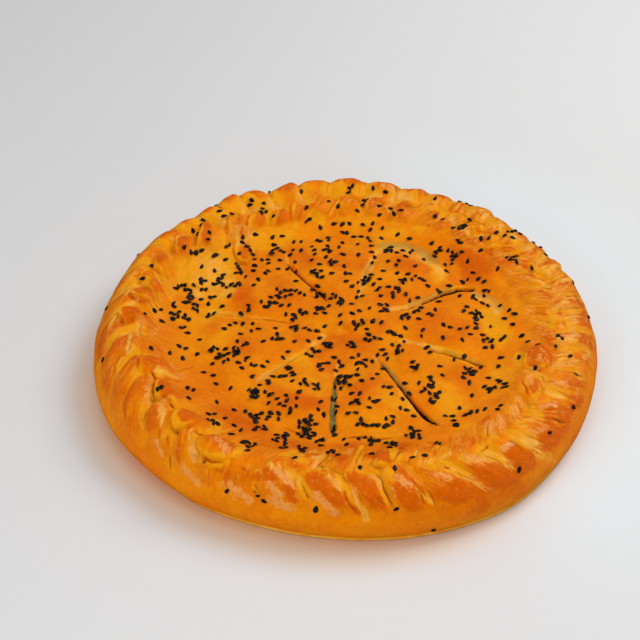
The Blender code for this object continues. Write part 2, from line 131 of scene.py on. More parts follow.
# Marks on the rim: kind, half width in mm, strength, then points
# as angle and distance in mm outwards from the crimp line.
#   C crease with painted shade along it, E free edge of an overlapping fold with
#   painted shade under it (the fold lies on the left when the points are followed
#   with the crimp distance growing downwards), R thin ridge, V soft valley browned as
#   painted shade, D dome, B browner, P yellower, K pale stretched skin, F wrinkled
#   glossy skin with a painted peach sheen, O olive.
RIM_STROKES = (
    # front, 232 to 260
    ("E", 3.4, 0.9, (232, 2.5), (233.3, 6.5), (235.4, 8.9), (237.5, 8.9), (239.5, 6.8), (241.5, 5)),
    ("C", 0.8, 0.9, (236.6, 9.5), (237, 11.5)), ("C", 0.5, 0.5, (242.8, 4.5), (243.2, 1)),
    ("C", 0.5, 0.4, (235, -3.6), (240.2, -5.7)), ("F", 1.6, 0.6, (234.5, 0), (239.5, 2.5)), ("B", 2.5, 0.5, (235, -1), (240, 0)),
    ("R", 1.0, 0.7, (238.7, 17), (238.8, 12), (239.8, 8.5), (242, 6.2), (244.5, 6.5)),
    ("B", 2.3, 0.9, (241, 10.5), (243.3, 14)), ("F", 2.2, 1.0, (244.4, 16), (249, 21)), ("F", 1.2, 0.6, (242, 17), (246, 22.5)),
    ("C", 0.6, 0.9, (245.3, 6.8), (247, 7)), ("C", 0.5, 0.6, (249.5, 11.4), (250.8, 15), (252, 18)), ("C", 0.8, 0.8, (249.8, 15.5), (250.1, 17)),
    ("R", 0.9, 0.7, (247.9, 9.5), (248.8, 5), (251, 2.2), (253.5, 1.5)), ("B", 2.8, 0.9, (249.5, 7), (252.5, 5.5)),
    ("F", 1.9, 1.0, (254, 4), (257.8, 8.5)), ("K", 1.2, 0.7, (253.5, 1.5), (256.5, 3.5), (258, 6)), ("F", 2.3, 1.0, (253, 11), (255.5, 14.5)),
    ("F", 2.6, 1.0, (254.5, 18), (258.2, 20.5)), ("B", 1.6, 0.9, (256.3, 9.5), (258.8, 15.5)), ("C", 0.5, 0.5, (258.3, 4), (258.6, 10.5)),
    ("K", 1.3, 0.6, (259, 5.5), (260, 9.5)), ("C", 0.55, 0.8, (260, 6.5), (261, 10.5), (262.4, 14.5)), ("R", 0.6, 0.6, (259.6, 3.5), (260.6, 7), (262, 11.5)),
    # 260 to 292
    ("R", 1.0, 0.8, (259.3, 5), (260.5, 1.3), (263, 0.3), (266, 1)), ("B", 3.0, 0.9, (262.8, 5), (266.5, 9.5), (268.8, 13)),
    ("F", 1.9, 1.0, (263.6, 11.5), (266, 16), (268, 20)), ("K", 1.3, 0.8, (266.5, 2), (268, 5), (269, 8)), ("F", 1.2, 0.5, (267, 3), (268.8, 7)),
    ("C", 0.55, 0.9, (269.6, 7.5), (270.4, 12.5), (272, 17.5), (272.9, 20)), ("B", 1.2, 0.9, (271.2, 15.5), (272.8, 19.5)),
    ("K", 1.2, 0.9, (271.3, 6), (272.3, 11), (274, 18), (274.5, 23)), ("F", 1.0, 0.8, (272.2, 8), (273, 14)),
    ("R", 1.1, 0.9, (269, -2.3), (272, -1.8), (275.8, 0), (277.7, 3.5), (278.7, 9)), ("B", 2.6, 0.9, (272.3, 3), (275, 7.5), (277.5, 15)),
    ("F", 1.1, 0.8, (276, 2), (277.5, 4.5), (278.3, 8)), ("C", 0.5, 0.4, (276.4, 10), (278.3, 16)),
    ("C", 0.6, 0.9, (277.6, -3), (278, 2), (279.2, 9.3), (280, 14.4), (280.9, 19.5)),
    ("R", 1.6, 0.8, (279.7, -5.5), (280.3, -1), (280.6, 4), (281, 10)), ("P", 2.0, 0.7, (279.6, -4), (280.6, 3)), ("F", 0.9, 0.7, (280.6, 8.5), (281.2, 12.5)),
    ("C", 0.6, 0.9, (281.8, -4.5), (284, -8.5), (285.8, -11.8)), ("C", 0.5, 0.5, (282.3, -3), (281.9, 3)),
    ("F", 1.7, 1.0, (282.3, 3.5), (284.2, 8.5)), ("B", 2.8, 0.9, (282.8, 10), (284.6, 18)), ("C", 0.5, 0.6, (285, 5), (286.5, 11), (288, 16)),
    ("C", 0.6, 0.8, (286.4, 12.5), (287.4, 19.5)), ("C", 0.5, 0.6, (288.3, 11), (289.5, 19.5)), ("K", 0.8, 0.7, (285.5, 9), (287.3, 15)), ("K", 0.8, 0.6, (287.8, 13), (289, 19)),
    ("K", 2.1, 0.9, (262.9, -2.5), (262.5, -8), (263.2, -13)), ("F", 1.4, 0.6, (262.5, -3), (263.3, -12)),
    ("C", 0.6, 0.9, (262.6, -1.5), (264.3, -7.5), (265.3, -14.5), (265.9, -19.5)), ("C", 0.9, 0.7, (263.8, -3), (264.4, -5)),
    ("B", 2.5, 0.7, (267, -12), (269.5, -8)), ("F", 1.2, 0.6, (271.3, -18.5), (271.2, -14.5)),
    ("C", 0.5, 0.7, (272.1, -3.2), (273.5, -9.8), (275, -17.3), (275.7, -22)), ("P", 1.2, 0.9, (273.3, -6), (274.3, -14), (275, -21)),
    ("B", 2.5, 0.7, (278.5, -11.5), (281.5, -9)), ("F", 1.3, 0.6, (278, -16), (281, -13.5)), ("P", 1.8, 0.7, (282.6, -13), (283.6, -7.5)),
    ("C", 0.6, 0.9, (285.7, -12.7), (287.4, -18.3)), ("C", 0.6, 0.9, (286.5, -12.2), (288.4, -17.5)), ("B", 1.6, 0.8, (286.6, -14.5), (288, -18.5)),
    ("C", 0.5, 0.5, (276, -5), (279, -12)), ("P", 1.6, 0.5, (254, -8), (258, -5)), ("F", 1.2, 0.5, (257, -1.5), (258, 1)),
    ("C", 0.5, 0.4, (252, -1.5), (256, -3)), ("B", 1.4, 0.4, (256.5, -2), (259, 0)),
    # 288 to 322
    ("F", 2.0, 0.9, (291.2, 5.5), (293.6, 8.5)), ("P", 2.0, 0.6, (289, 1), (292, 0.5)), ("B", 3.2, 0.9, (290.5, 14), (294.5, 16.5)),
    ("C", 0.6, 0.9, (293.7, 2.7), (295, 4.8)), ("K", 1.1, 0.9, (295, 5), (297.4, 9.5), (300, 16), (303.2, 23)), ("K", 1.6, 0.6, (300.5, 17), (302.5, 21)),
    ("C", 0.5, 0.5, (295.4, 5.5), (297.9, 10.5), (300.4, 16)), ("F", 2.2, 0.7, (300.5, 3), (303.5, 6.5)), ("K", 1.2, 0.6, (302.5, 6.5), (304.5, 8.5)),
    ("B", 3.2, 1.0, (301.5, 10.5), (305.5, 14.5)), ("B", 2.5, 0.8, (303, 17), (307, 19)), ("C", 0.6, 0.9, (304.3, 2.6), (307, 1.3)),
    ("K", 1.1, 0.9, (304.4, 4), (306, 9), (308, 14.5)), ("C", 0.5, 0.7, (304.2, 3.2), (305.4, 7.5), (307.4, 14)),
    ("F", 1.6, 1.0, (308.8, 6), (311.8, 6.3)), ("B", 3.2, 1.0, (309.5, 11.5), (313, 15.5)), ("B", 2.2, 0.7, (311, 19), (314, 20)),
    ("R", 0.7, 0.9, (311.8, 2.5), (313.2, 6), (314, 11), (315.3, 18)), ("K", 1.4, 0.8, (314.6, 8), (316.5, 16), (318.8, 23)), ("K", 1.6, 0.6, (316, 6), (319.5, 12)),
    ("C", 0.5, 0.6, (311.3, 3.5), (312.7, 8), (313.3, 13)), ("K", 1.8, 0.7, (316, 2), (320, 6)), ("F", 1.5, 0.6, (316.5, 3), (318.5, 8)), ("B", 3.0, 0.9, (319.5, 14), (323.5, 18)),
    ("V", 0.9, 0.6, (299.4, -0.5), (303.7, -9)), ("V", 0.9, 0.5, (302, 0), (308, -7.5)), ("C", 0.5, 0.5, (305, -0.8), (307.6, -5.8)),
    ("C", 0.55, 0.7, (308, -1.5), (311, -7), (312.7, -8)), ("V", 1.0, 0.7, (313.7, 0), (318.5, -7.5)), ("V", 0.8, 0.5, (316.5, 0), (319.5, -6)),
    ("V", 1.0, 0.7, (320.8, -1), (324, -6.5)), ("K", 0.9, 0.7, (304, -3), (307, -9)), ("F", 1.2, 0.7, (300.5, -8), (303, -10)), ("F", 1.3, 0.7, (313, -2), (317, -7)),
    ("K", 0.8, 0.7, (318.5, -3), (321, -6)), ("F", 1.2, 0.7, (323, -3), (325.5, -6.5)), ("K", 0.8, 0.6, (309, -3.5), (310, -5.5)),
    ("C", 0.5, 0.5, (292.5, -3), (295.5, -9.5)), ("C", 0.5, 0.5, (295, -6), (298.5, -12)), ("K", 0.8, 0.6, (294, -7), (295.5, -11)),
    ("B", 1.2, 0.9, (288, -18), (288.4, -16)), ("B", 1.0, 0.8, (295, -14.5), (295.6, -13.5)),
    ("K", 2.4, 0.9, (305.2, 4), (306.8, 9), (308, 14)), ("K", 3.0, 0.95, (316, 5), (316.8, 11), (318, 18), (318.8, 23)), ("K", 2.8, 0.8, (318.5, 3), (322, 7)),
    ("K", 1.8, 0.95, (331.4, 3), (333, 9)), ("K", 1.5, 1.0, (337.9, -9.5), (336.3, -5), (333.6, 0.8)), ("K", 2.2, 0.9, (345.5, 2), (347.5, 5)), ("K", 1.4, 0.8, (341, -0.5), (344, 4), (346, 9)),
    ("K", 2.4, 0.8, (298.5, 2), (302.5, 7)), ("F", 1.4, 0.8, (300.5, -2), (302, -5)), ("F", 2.0, 0.9, (310, -4), (312, -7.5)), ("K", 0.7, 0.7, (309.5, -2), (312.5, -6.5)),
    ("F", 2.2, 1.0, (314, -3), (316.5, -7)), ("K", 1.0, 0.7, (317, -2), (319, -6)), ("F", 2.0, 0.9, (319, -1), (321, -5)), ("K", 0.7, 0.8, (322.5, -4), (325.5, -9)),
    ("B", 1.8, 0.6, (304, -4), (307, -7)), ("B", 1.6, 0.5, (311, -9), (314, -11)), ("F", 1.8, 0.8, (323, -3.5), (325, -7)), ("B", 1.4, 0.5, (307.5, -2), (309.5, -5)),
    ("C", 0.45, 0.5, (317, 1.5), (319, 4.5)), ("C", 0.45, 0.5, (319.5, 0.5), (321.5, 4)),
    ("C", 0.6, 0.8, (325.5, 11), (328.6, 18)), ("V", 0.9, 0.5, (298, -3), (300.5, -7.5)), ("F", 1.6, 0.8, (310, -2.5), (313, -6)), ("F", 1.6, 0.8, (319, 9), (322, 11)),
    # slope of the front
    ("K", 1.6, 0.8, (258.5, -9), (261, -16)), ("P", 2.0, 0.8, (256, -12), (259, -4)), ("K", 1.0, 0.8, (271, -12), (272.5, -18)), ("P", 2.2, 0.9, (283, -7), (284, -14)),
    ("K", 1.0, 0.8, (287.5, -6), (290.5, -11)), ("K", 1.6, 0.8, (290.5, -1), (295, -3)), ("K", 1.3, 0.8, (296, -1), (299, -4)), ("K", 1.3, 0.7, (251.5, 2), (254.5, 4.5)),
    # 322 to 350
    ("R", 0.7, 1.0, (322, 2.5), (324, 8.5), (327, 15), (329, 20)), ("C", 0.6, 0.9, (322.3, 3.5), (325.5, 11), (328.2, 18)),
    ("B", 3.0, 1.0, (325.5, 9), (330, 15.5)), ("F", 1.5, 0.8, (326.5, 3.5), (329.7, 8.5)), ("R", 0.6, 0.8, (330.4, 1.9), (332.8, 6), (333.2, 12.7), (335.6, 18)),
    ("B", 2.2, 0.9, (333.5, 15), (338, 19)), ("F", 1.4, 0.9, (335, 2.5), (337.7, 8.5)), ("P", 1.2, 0.7, (332, 3), (333.2, 9)),
    ("C", 0.5, 0.6, (333.8, 4), (334.6, 11), (336.8, 17)), ("R", 0.6, 0.8, (338.5, 1), (340.4, 6), (342.8, 15), (345, 20)),
    ("B", 1.8, 0.7, (338.5, 10), (341, 15)), ("C", 0.5, 0.6, (339.6, 3), (341.6, 9), (344, 16)), ("F", 1.5, 0.8, (342, 2), (345, 9)),
    ("K", 1.4, 0.6, (341.5, 1), (343.5, 6)), ("C", 0.5, 0.7, (334.6, 0.5), (336, 3)),
    ("B", 2.4, 1.0, (328, -3.5), (333, -2.5)), ("F", 1.6, 1.0, (331.8, -5.5), (334.6, -7.5)), ("C", 0.6, 0.8, (327, -3.8), (329.5, -6.5), (333, -10.5)),
    ("E", 2.6, 0.7, (324, 1), (327, 0.5), (331, 0.8), (335, -3.2), (337, -9.8), (339, -14)), ("R", 0.9, 0.9, (335.7, -1), (337.6, -7), (339.8, -13.5)),
    ("K", 1.2, 0.7, (335, -0.5), (336.6, -4)), ("B", 3.6, 0.75, (340.5, -6.5), (345.5, -8)), ("F", 1.1, 1.0, (341.3, -6.8), (343.5, -7)), ("F", 1.0, 0.5, (345.5, -7), (346.5, -7.5)),
    ("P", 2.2, 1.0, (342, -15.5), (344, -17), (346, -17.5)), ("R", 0.8, 0.8, (338.6, -12), (342, -13.5), (347.5, -14)),
    ("E", 2.5, 0.9, (337.8, -9), (338.2, -4), (341, -1.2), (344.9, -3.5), (347.7, -8), (348.3, -11)),
    # 348 to 395
    ("B", 2.0, 0.9, (348.8, -2.5), (352, -4)), ("E", 2.0, 0.7, (347.3, -3.5), (348, 0.3), (351, 1), (353.3, -2), (353.5, -6)), ("C", 0.5, 0.5, (348.2, -6.8), (351, -7.8)),
    ("K", 1.6, 0.8, (343.5, 2), (348, 3.5)), ("F", 1.6, 0.9, (352.8, 4), (355.2, 6.5)), ("P", 2.2, 0.7, (348, 5), (351, 8)), ("K", 2.4, 0.9, (358, 6), (361.5, 5.5)),
    ("K", 1.5, 0.8, (363.5, -0.5), (365.5, 6)), ("B", 3.0, 1.0, (362, 13), (368, 16)), ("B", 2.5, 0.7, (352.5, 16), (356, 18)), ("C", 0.6, 0.9, (356.3, 4.3), (360.6, 1.9)),
    ("C", 0.5, 0.6, (360, 8), (361.5, 14)), ("V", 1.1, 0.8, (366.8, 3.5), (369.6, 12.7), (372.5, 20)), ("V", 0.9, 0.5, (369, 4.5), (370.6, 7.7)),
    ("V", 1.1, 0.8, (372, 2.7), (376.3, 12.7), (380, 20)), ("V", 0.9, 0.5, (374.4, 1.9), (379, 12)), ("V", 1.1, 0.8, (378, 4), (382.5, 12), (386, 20)), ("V", 1.1, 0.8, (383, 3), (388, 13), (391, 20)),
    ("V", 1.1, 0.8, (388, 1), (392, 11), (395, 18)), ("V", 1.0, 0.6, (393, 2), (397.5, 12)), ("R", 0.8, 0.9, (374.5, -1.5), (377.2, -5.7), (380, -8)), ("K", 1.0, 0.9, (373.3, -0.5), (376, -3)),
    ("C", 0.5, 0.5, (375.5, 2.5), (382.5, 3)), ("V", 1.0, 0.8, (381, -1), (385.5, -5.5)), ("V", 0.9, 0.7, (385.5, -1.5), (388, -6.5)), ("V", 0.9, 0.6, (377, -2), (381, -6.5)),
    # the broad K patches on the right wall, 14 to 26 mm out, are painted highlights
    ("K", 2.8, 0.9, (351, 2), (355, 7)), ("K", 3.4, 0.95, (358, 4), (362, 8.5)), ("K", 1.6, 0.9, (364.5, 0), (366, 6)), ("K", 2.6, 0.7, (349, 14), (354, 19)), ("K", 2.4, 0.6, (358, 20), (364, 24)),
    ("K", 2.4, 0.6, (366, 20), (372, 26)), ("K", 1.4, 0.8, (368, 5), (371, 12), (375, 22)), ("K", 1.4, 0.8, (374, 4), (378, 13), (383, 23)), ("K", 1.4, 0.8, (380, 4), (384, 13), (389, 23)),
    ("K", 1.3, 0.7, (385.5, 3), (390, 13), (394, 22)), ("K", 1.3, 0.7, (390.5, 2), (395, 12), (399, 21)), ("R", 0.7, 0.9, (368.5, 3), (372, 12), (376, 20)), ("R", 0.7, 0.9, (373.5, 2), (378, 12), (382, 20)),
    ("R", 0.7, 0.9, (379.5, 3), (384, 12), (388, 20)), ("R", 0.7, 0.9, (385, 2), (390, 12), (393, 19)), ("R", 0.7, 0.8, (390, 1), (394.5, 11), (397.5, 18)), ("P", 2.4, 0.8, (356, -3), (362, -2)),
    ("K", 1.2, 0.6, (369, 3), (373, 6)), ("F", 1.2, 0.7, (371, 5), (374, 9)), ("K", 0.9, 0.6, (377, 5), (380, 11)), ("K", 0.9, 0.6, (385, 5), (388, 10)),
    ("B", 2.0, 0.6, (369, -2), (373, -3.5)), ("B", 2.0, 0.6, (372.5, 11), (376, 14)), ("B", 6.0, 0.5, (387, -24), (398, -20)), ("B", 5.0, 0.4, (392, -28), (402, -22)),
    ("R", 0.7, 0.6, (380, -1), (384, 0.5)), ("R", 0.8, 0.7, (386.5, 0), (389, -4)), ("F", 1.2, 0.6, (381, 5), (384, 10)), ("F", 1.0, 0.6, (389, 1), (392, 6)),
    # right of the back, flaky
    ("V", 0.9, 0.7, (38.5, -11), (42, -8), (44, -3)), ("V", 0.9, 0.6, (41, -5), (43, 1)), ("V", 0.9, 0.6, (44, -12), (47, -7)), ("V", 0.9, 0.7, (46.5, -4), (49, 1.5), (52, 8)),
    ("V", 0.9, 0.6, (50, -3), (53, 2), (55.5, 7)), ("V", 0.9, 0.6, (53.5, -9), (56, -5.5)), ("V", 0.9, 0.7, (56.3, -5), (58.3, -7.5)), ("V", 0.9, 0.6, (57, -3), (60, 2), (62, 7)),
    ("V", 0.9, 0.6, (60, -6), (62, -3)), ("V", 0.9, 0.5, (63, -8), (64.5, -3)), ("V", 0.9, 0.6, (36, -6), (39.5, 0)), ("V", 0.9, 0.6, (35, -12), (38, -9)),
    ("K", 1.2, 0.8, (53.5, -9), (55.5, -6), (56, -3)), ("K", 0.9, 0.8, (47, -10), (49.5, -8)), ("K", 0.8, 0.7, (40.5, -9.5), (43.5, -7)), ("K", 0.8, 0.7, (58.5, -6.5), (60.5, -7.5)),
    ("K", 0.9, 0.7, (43.5, -6.5), (46, -2.5)), ("K", 0.7, 0.7, (50.5, -9), (52.5, -7)), ("F", 1.4, 0.7, (54, -8), (56, -5)), ("F", 1.2, 0.6, (57.5, -6), (60, -7)),
    ("R", 0.7, 0.8, (39, -7), (41, -2)), ("R", 0.7, 0.8, (45, -9), (48, -5)), ("R", 0.7, 0.8, (48.5, -2), (51, 3)), ("R", 0.7, 0.7, (36.5, -9), (40, -5)), ("R", 0.7, 0.7, (42.5, 0), (45.5, 6)),
    ("B", 1.6, 0.7, (57, -13), (57.6, -10)), ("B", 1.5, 0.6, (61.5, -2.5), (65, -3)), ("B", 5.0, 0.7, (37, -23), (42, -20)), ("B", 2.0, 0.5, (47, 3), (50, 7)),
    ("K", 1.1, 0.9, (14, 3), (17, 9)), ("K", 1.2, 0.9, (19, 4), (22.5, 10)), ("K", 1.2, 0.9, (25, 2), (29, 9)), ("K", 1.1, 0.9, (30, 4), (34, 10)), ("K", 1.2, 0.9, (36, 2), (40, 9)),
    ("K", 1.2, 0.8, (42, 3), (46, 9)), ("K", 1.2, 0.8, (49, 3), (52, 8)), ("K", 1.4, 0.8, (56, 1), (59, 7)), ("K", 1.2, 0.8, (63, 0), (65, 6)), ("K", 1.0, 0.8, (12, -2), (15, -4)),
    ("E", 1.8, 0.7, (14, 0.5), (17, 2.5), (20, 1), (22, -3)), ("E", 1.8, 0.7, (21.5, -1), (24, 2), (27, 0), (29, -4)), ("E", 1.8, 0.7, (29, 0), (32, 1.8), (35, -1), (36.5, -5)),
    ("E", 1.8, 0.7, (37, -4), (39.5, -1.5), (42.5, -3), (44, -8)), ("E", 1.8, 0.7, (44, -3), (47, -0.5), (50, -3), (51, -8)), ("E", 1.8, 0.7, (51.5, -2), (54, -0.5), (57.5, -3), (58, -8)),
    ("E", 1.8, 0.6, (60, -1), (63, 0.5), (66, -2), (67, -7)), ("P", 2.0, 0.8, (18, -1), (21, 1)), ("P", 2.0, 0.8, (31, 2), (35, 3)), ("P", 2.0, 0.7, (45, 1), (48, 3)),
    # fingers of the back
    ("E", 3.0, 0.8, (68.5, -1.5), (72.2, -1.7), (74, -4), (75.3, -9), (75.2, -14)), ("E", 2.6, 0.9, (78.4, -9), (79.4, -5), (81.2, -3), (83.1, -4), (84.6, -8), (85, -11.5)),
    ("E", 2.6, 0.9, (86, -9), (88, -5.5), (90.8, -3.5), (92.9, -4.4), (94.8, -9.8), (97, -15.7)), ("E", 2.6, 0.8, (94, -5), (95.2, -3.2), (99.5, -0.7), (101.4, -2.3), (103.5, -6), (104.5, -10)),
    ("E", 2.6, 0.8, (104.5, -6), (107.4, -2.3), (108.6, -6.5), (110, -14)), ("E", 2.6, 0.8, (108.8, -5), (110.5, -3), (112.9, -4.8), (115.7, -9.8), (117.6, -14.8)),
    ("E", 2.6, 0.8, (117.5, -9), (118.6, -6.5), (121.4, -5.7), (124.3, -8.2), (126, -12)), ("E", 2.6, 0.9, (124.3, -4), (125.2, -0.7), (128, -1.5), (131, -6.5), (132.9, -11.5)),
    ("E", 3.0, 1.0, (132.8, -4), (134, -0.2), (136.7, 0.6), (140, -2.3), (144, -6.5)), ("E", 2.8, 0.9, (141, -1), (142.4, 2.7), (145.7, 2.5), (149, -1), (150.5, -5)),
    ("E", 2.8, 0.7, (150.3, -1), (152, 2.7), (155.8, 3), (158.5, 0), (160, -6)), ("E", 2.8, 0.6, (158.5, 2), (160, 4.5), (164, 4), (166.5, 0.5), (167.5, -5)),
    ("E", 2.4, 1.0, (167, -0.7), (167.7, 2.7), (170, 4.8), (171.3, 3.5), (172, 0.2), (172.5, -5)), ("E", 2.8, 0.9, (174.5, 0), (175.3, 2.7), (177.2, 5.2), (180, 6), (181.8, 4.3), (181.2, -1), (181.7, -4)),
    ("B", 1.8, 0.8, (72, -4), (74.5, -8)), ("B", 2.2, 0.9, (80.5, -6), (83, -8.5)), ("F", 0.8, 0.9, (81.8, -8), (82.6, -7)), ("B", 2.0, 0.8, (88.5, -8), (92, -7)),
    ("F", 0.9, 0.9, (89.5, -8), (90.2, -8.5)), ("B", 2.4, 0.9, (93.8, -13), (96.5, -15.5)), ("B", 2.0, 0.9, (101, -10), (103.4, -8.5)), ("B", 2.0, 0.6, (106, -9), (109, -12)),
    ("B", 2.2, 0.6, (112, -9), (115, -14)), ("B", 2.2, 0.7, (119.5, -9), (123, -14)), ("B", 2.4, 1.0, (125.8, -3.5), (128.5, -8)), ("B", 2.6, 1.0, (134.8, -2.5), (139, -6.5), (143.5, -12.5)),
    ("B", 1.4, 0.8, (136, -2.5), (142, -10)), ("B", 2.4, 0.9, (143.5, -1), (147, -3)), ("B", 2.0, 1.0, (153.3, -0.5), (156, -1)), ("B", 2.5, 0.7, (160, -2), (165, -6)),
    ("B", 2.2, 1.0, (168, -0.5), (170.5, 1.5)), ("B", 2.4, 1.0, (176, -0.5), (180, 2)),
    ("B", 2.6, 0.9, (69, 7.5), (74, 8)), ("B", 2.4, 0.9, (62, 8), (66, 9)), ("B", 2.4, 0.8, (78, 8), (82, 8.5)), ("B", 2.6, 0.9, (88, 7.5), (93, 8)), ("B", 2.6, 1.0, (106, 7), (110, 8)),
    ("B", 2.4, 0.8, (97, 8), (101, 8.5)), ("B", 2.2, 0.8, (121, 9), (124, 8)), ("B", 2.2, 0.8, (129, 8), (132, 9)), ("B", 2.2, 0.8, (136, 8), (139, 9)), ("B", 2.4, 0.9, (144, 8), (148, 9)),
    ("K", 1.6, 0.9, (76, -9), (77.5, -5), (77, 0), (75.5, 5)), ("K", 1.8, 0.9, (72, 2), (75, 4)), ("K", 1.4, 0.9, (80.5, 0.5), (84, 0)), ("K", 1.2, 0.8, (85.8, -7), (86.2, -3)),
    ("K", 1.8, 0.9, (101.5, -2), (104.5, -4), (104, 1)), ("P", 2.5, 0.8, (99.5, -17), (102, -13)), ("K", 1.6, 0.9, (111.8, -1.5), (114.8, -2), (113, 2)), ("P", 1.5, 0.8, (117.5, -15), (117, -9), (116.5, -5)),
    ("K", 1.8, 0.8, (118.5, -2), (122.5, -3), (121, 3)), ("K", 1.8, 0.7, (127.5, 3), (130.8, -1), (131, -4)), ("P", 1.6, 0.7, (108.5, -15), (109.5, -18)), ("K", 1.3, 0.7, (145.3, 1.5), (145.8, 4)),
    ("C", 0.5, 0.5, (80, 1), (79, 7)), ("C", 0.5, 0.5, (86.5, 0), (86.8, 7)), ("C", 0.5, 0.5, (96, 1), (95.5, 7)), ("C", 0.5, 0.5, (103.5, 3), (104.2, 8)), ("C", 0.5, 0.5, (113, 4), (111.5, 9)),
    ("V", 1.1, 0.7, (125, -12), (128, -17)), ("V", 1.0, 0.6, (127.5, -12), (131, -18)), ("V", 1.0, 0.6, (133, -13), (136, -17)),
    ("K", 1.0, 0.5, (126.5, -12.5), (129, -16)), 
    # left
    ("C", 0.5, 0.7, (159.5, -1), (162.5, -6.5)), ("C", 0.5, 0.7, (160.5, 0), (164, -6)), ("C", 0.5, 0.5, (158, -3), (160.5, -8)), ("K", 0.7, 0.7, (160.2, -1.5), (162.8, -6)),
    ("C", 0.5, 0.6, (170.5, -4), (174.5, -9.5)), ("C", 0.5, 0.6, (172.5, -4), (176, -8.5)), ("K", 0.8, 0.7, (171.5, -5), (174.5, -8.5)), ("K", 0.8, 0.6, (174, -5), (177, -9)),
    ("K", 1.2, 0.8, (172, 1.5), (174.5, 4)), ("K", 1.3, 0.8, (167.5, 5.5), (170.5, 7)), ("K", 1.0, 0.8, (176, 7.5), (180, 8.5), (183, 11)), ("K", 0.9, 0.7, (165.3, 1.5), (166.5, 4.5)),
    ("C", 0.5, 0.7, (175.5, 9), (179, 7), (182, 9.5)), ("C", 0.5, 0.5, (170, 8), (173, 6), (175, 8.5)), ("R", 0.8, 0.7, (176, 8), (179.5, 9), (182.5, 12)), ("C", 0.5, 0.5, (166, 7), (168, 11)),
    ("K", 1.4, 0.8, (181.5, -2.5), (185, -2.8), (188, -2)), ("K", 1.4, 0.8, (186.5, 1), (190, 1), (194, 2.5)), ("C", 0.5, 0.7, (187, -0.5), (191, 0.5), (194.5, 3)), ("C", 0.5, 0.6, (186, 2.5), (190, 2.5)),
    ("B", 2.6, 1.0, (184.5, 6), (189.5, 7.5)), ("C", 0.5, 0.8, (181.3, -3.2), (188.5, -3.3)), ("C", 0.8, 0.8, (181.5, 4), (182.5, 6)), ("R", 0.7, 0.6, (189, -12), (189.2, -6.5)),
    ("C", 0.5, 0.5, (196.6, -20), (197.7, -15.5)), ("C", 0.5, 0.5, (198.8, -19), (198.6, -15)), ("F", 2.0, 0.6, (182, -11), (187, -9)), ("F", 1.6, 0.5, (168.5, -17), (173.5, -15.5)), ("F", 2.0, 0.5, (176, -12), (180.5, -8)),
    ("P", 2.5, 0.5, (150, -18), (156, -21)), ("P", 3.0, 0.5, (141, -18), (146, -20)),
    ("E", 2.5, 0.8, (204.8, -18), (200.5, -13), (198.3, -8), (197.6, -3), (199, -1), (202, -0.7), (203.4, -3)), ("K", 1.8, 0.8, (204.5, -7), (206.5, -11), (207, -14.5)),
    ("E", 2.0, 0.7, (203.6, -5.2), (206.7, -5.2), (208.2, -8), (209, -13), (208, -17)), ("B", 2.2, 0.6, (200, -5), (203, -9)), ("C", 0.5, 0.5, (201, -9), (204, -14)),
    ("E", 2.8, 0.9, (207.7, -6), (208.2, -4), (210.5, -2), (213.3, 0.4), (214.9, -0.7), (215, -3), (219.5, -4)), ("C", 0.5, 0.9, (210.5, -10.3), (213.3, -13), (215, -14.4)),
    ("B", 2.8, 0.7, (210, -6), (214, -4.5)), ("F", 1.3, 0.7, (214.5, -13), (217, -11.5)), ("R", 0.9, 0.6, (209, -4.8), (212.8, -1.6), (214, -3.2)), ("C", 0.7, 0.9, (217.5, -2.6), (219.6, -2.8)),
    ("E", 2.8, 0.9, (221.2, -6), (221.3, -1.5), (222.4, 1.9), (224.3, 4.2), (226.2, 4.4), (227.2, 1.5), (228.5, -1)), ("C", 0.8, 0.9, (225.8, 5), (226.4, 4.6)),
    ("B", 2.4, 0.8, (222.8, -4), (225.5, -3)), ("F", 1.3, 0.8, (224.6, -8.3), (227.2, -8.3)), ("R", 0.9, 0.6, (222.4, -1), (224, 1.8), (226, 2.2)), ("C", 0.6, 0.9, (229.3, 0.3), (231.4, -0.2), (233, -1)),
    ("F", 1.5, 0.8, (205.5, -3.5), (209.5, 0.5), (214, 4.5)), ("C", 0.5, 0.5, (205.2, 3.5), (208.5, 11), (212.9, 18.5)), ("C", 0.5, 0.45, (208.6, 13.5), (212, 17)),
    ("K", 1.5, 0.9, (215.5, -1), (219, 3), (222, 7.5)), ("F", 1.5, 0.7, (217, 1), (222, 7)), ("C", 0.5, 0.6, (217, 9.3), (218.6, 15)), ("K", 1.0, 0.6, (215, 11.5), (217, 14.5)),
    ("F", 1.7, 0.9, (222.8, 14), (225.6, 18.5)), ("C", 0.5, 0.8, (227.6, 15), (229, 23.5)), ("K", 1.7, 0.9, (229, 1.5), (231.5, 5), (234, 10.5)), ("F", 1.4, 0.8, (231.5, 6), (234.5, 12)),
    ("F", 2.1, 1.0, (232.5, 17.5), (236.5, 21)), ("B", 2.5, 0.6, (216.5, 5), (219.5, 11.5)), ("B", 2.5, 0.6, (229.5, 11), (231, 15)), ("C", 0.5, 0.5, (215.2, 7), (216.5, 12.5)), ("B", 2.4, 0.5, (206, 8), (210, 14)),
    ("C", 0.5, 0.5, (193, 6), (199, 12)), ("C", 0.5, 0.5, (198, 3), (202, 10)), ("C", 0.5, 0.5, (222, 9), (223.5, 13)), ("C", 0.5, 0.5, (224.5, 8), (226.5, 14)),
    ("D", 4.0, 0.9, (200, -4), (203, -10)), ("D", 4.5, 1.0, (210.5, -5), (215, -7)), ("D", 5.0, 1.0, (223.8, -3), (228.5, -6)), ("D", 5.0, 1.0, (235, 3), (239.5, 0)),
    ("P", 2.6, 0.9, (230, -12), (232.5, -6)), ("K", 2.2, 0.9, (205.5, -8), (207.5, -12.5)), ("P", 1.8, 0.8, (223, 1.5), (226.5, 2.8)), ("P", 1.6, 0.9, (242.3, -6), (242.5, 2)),
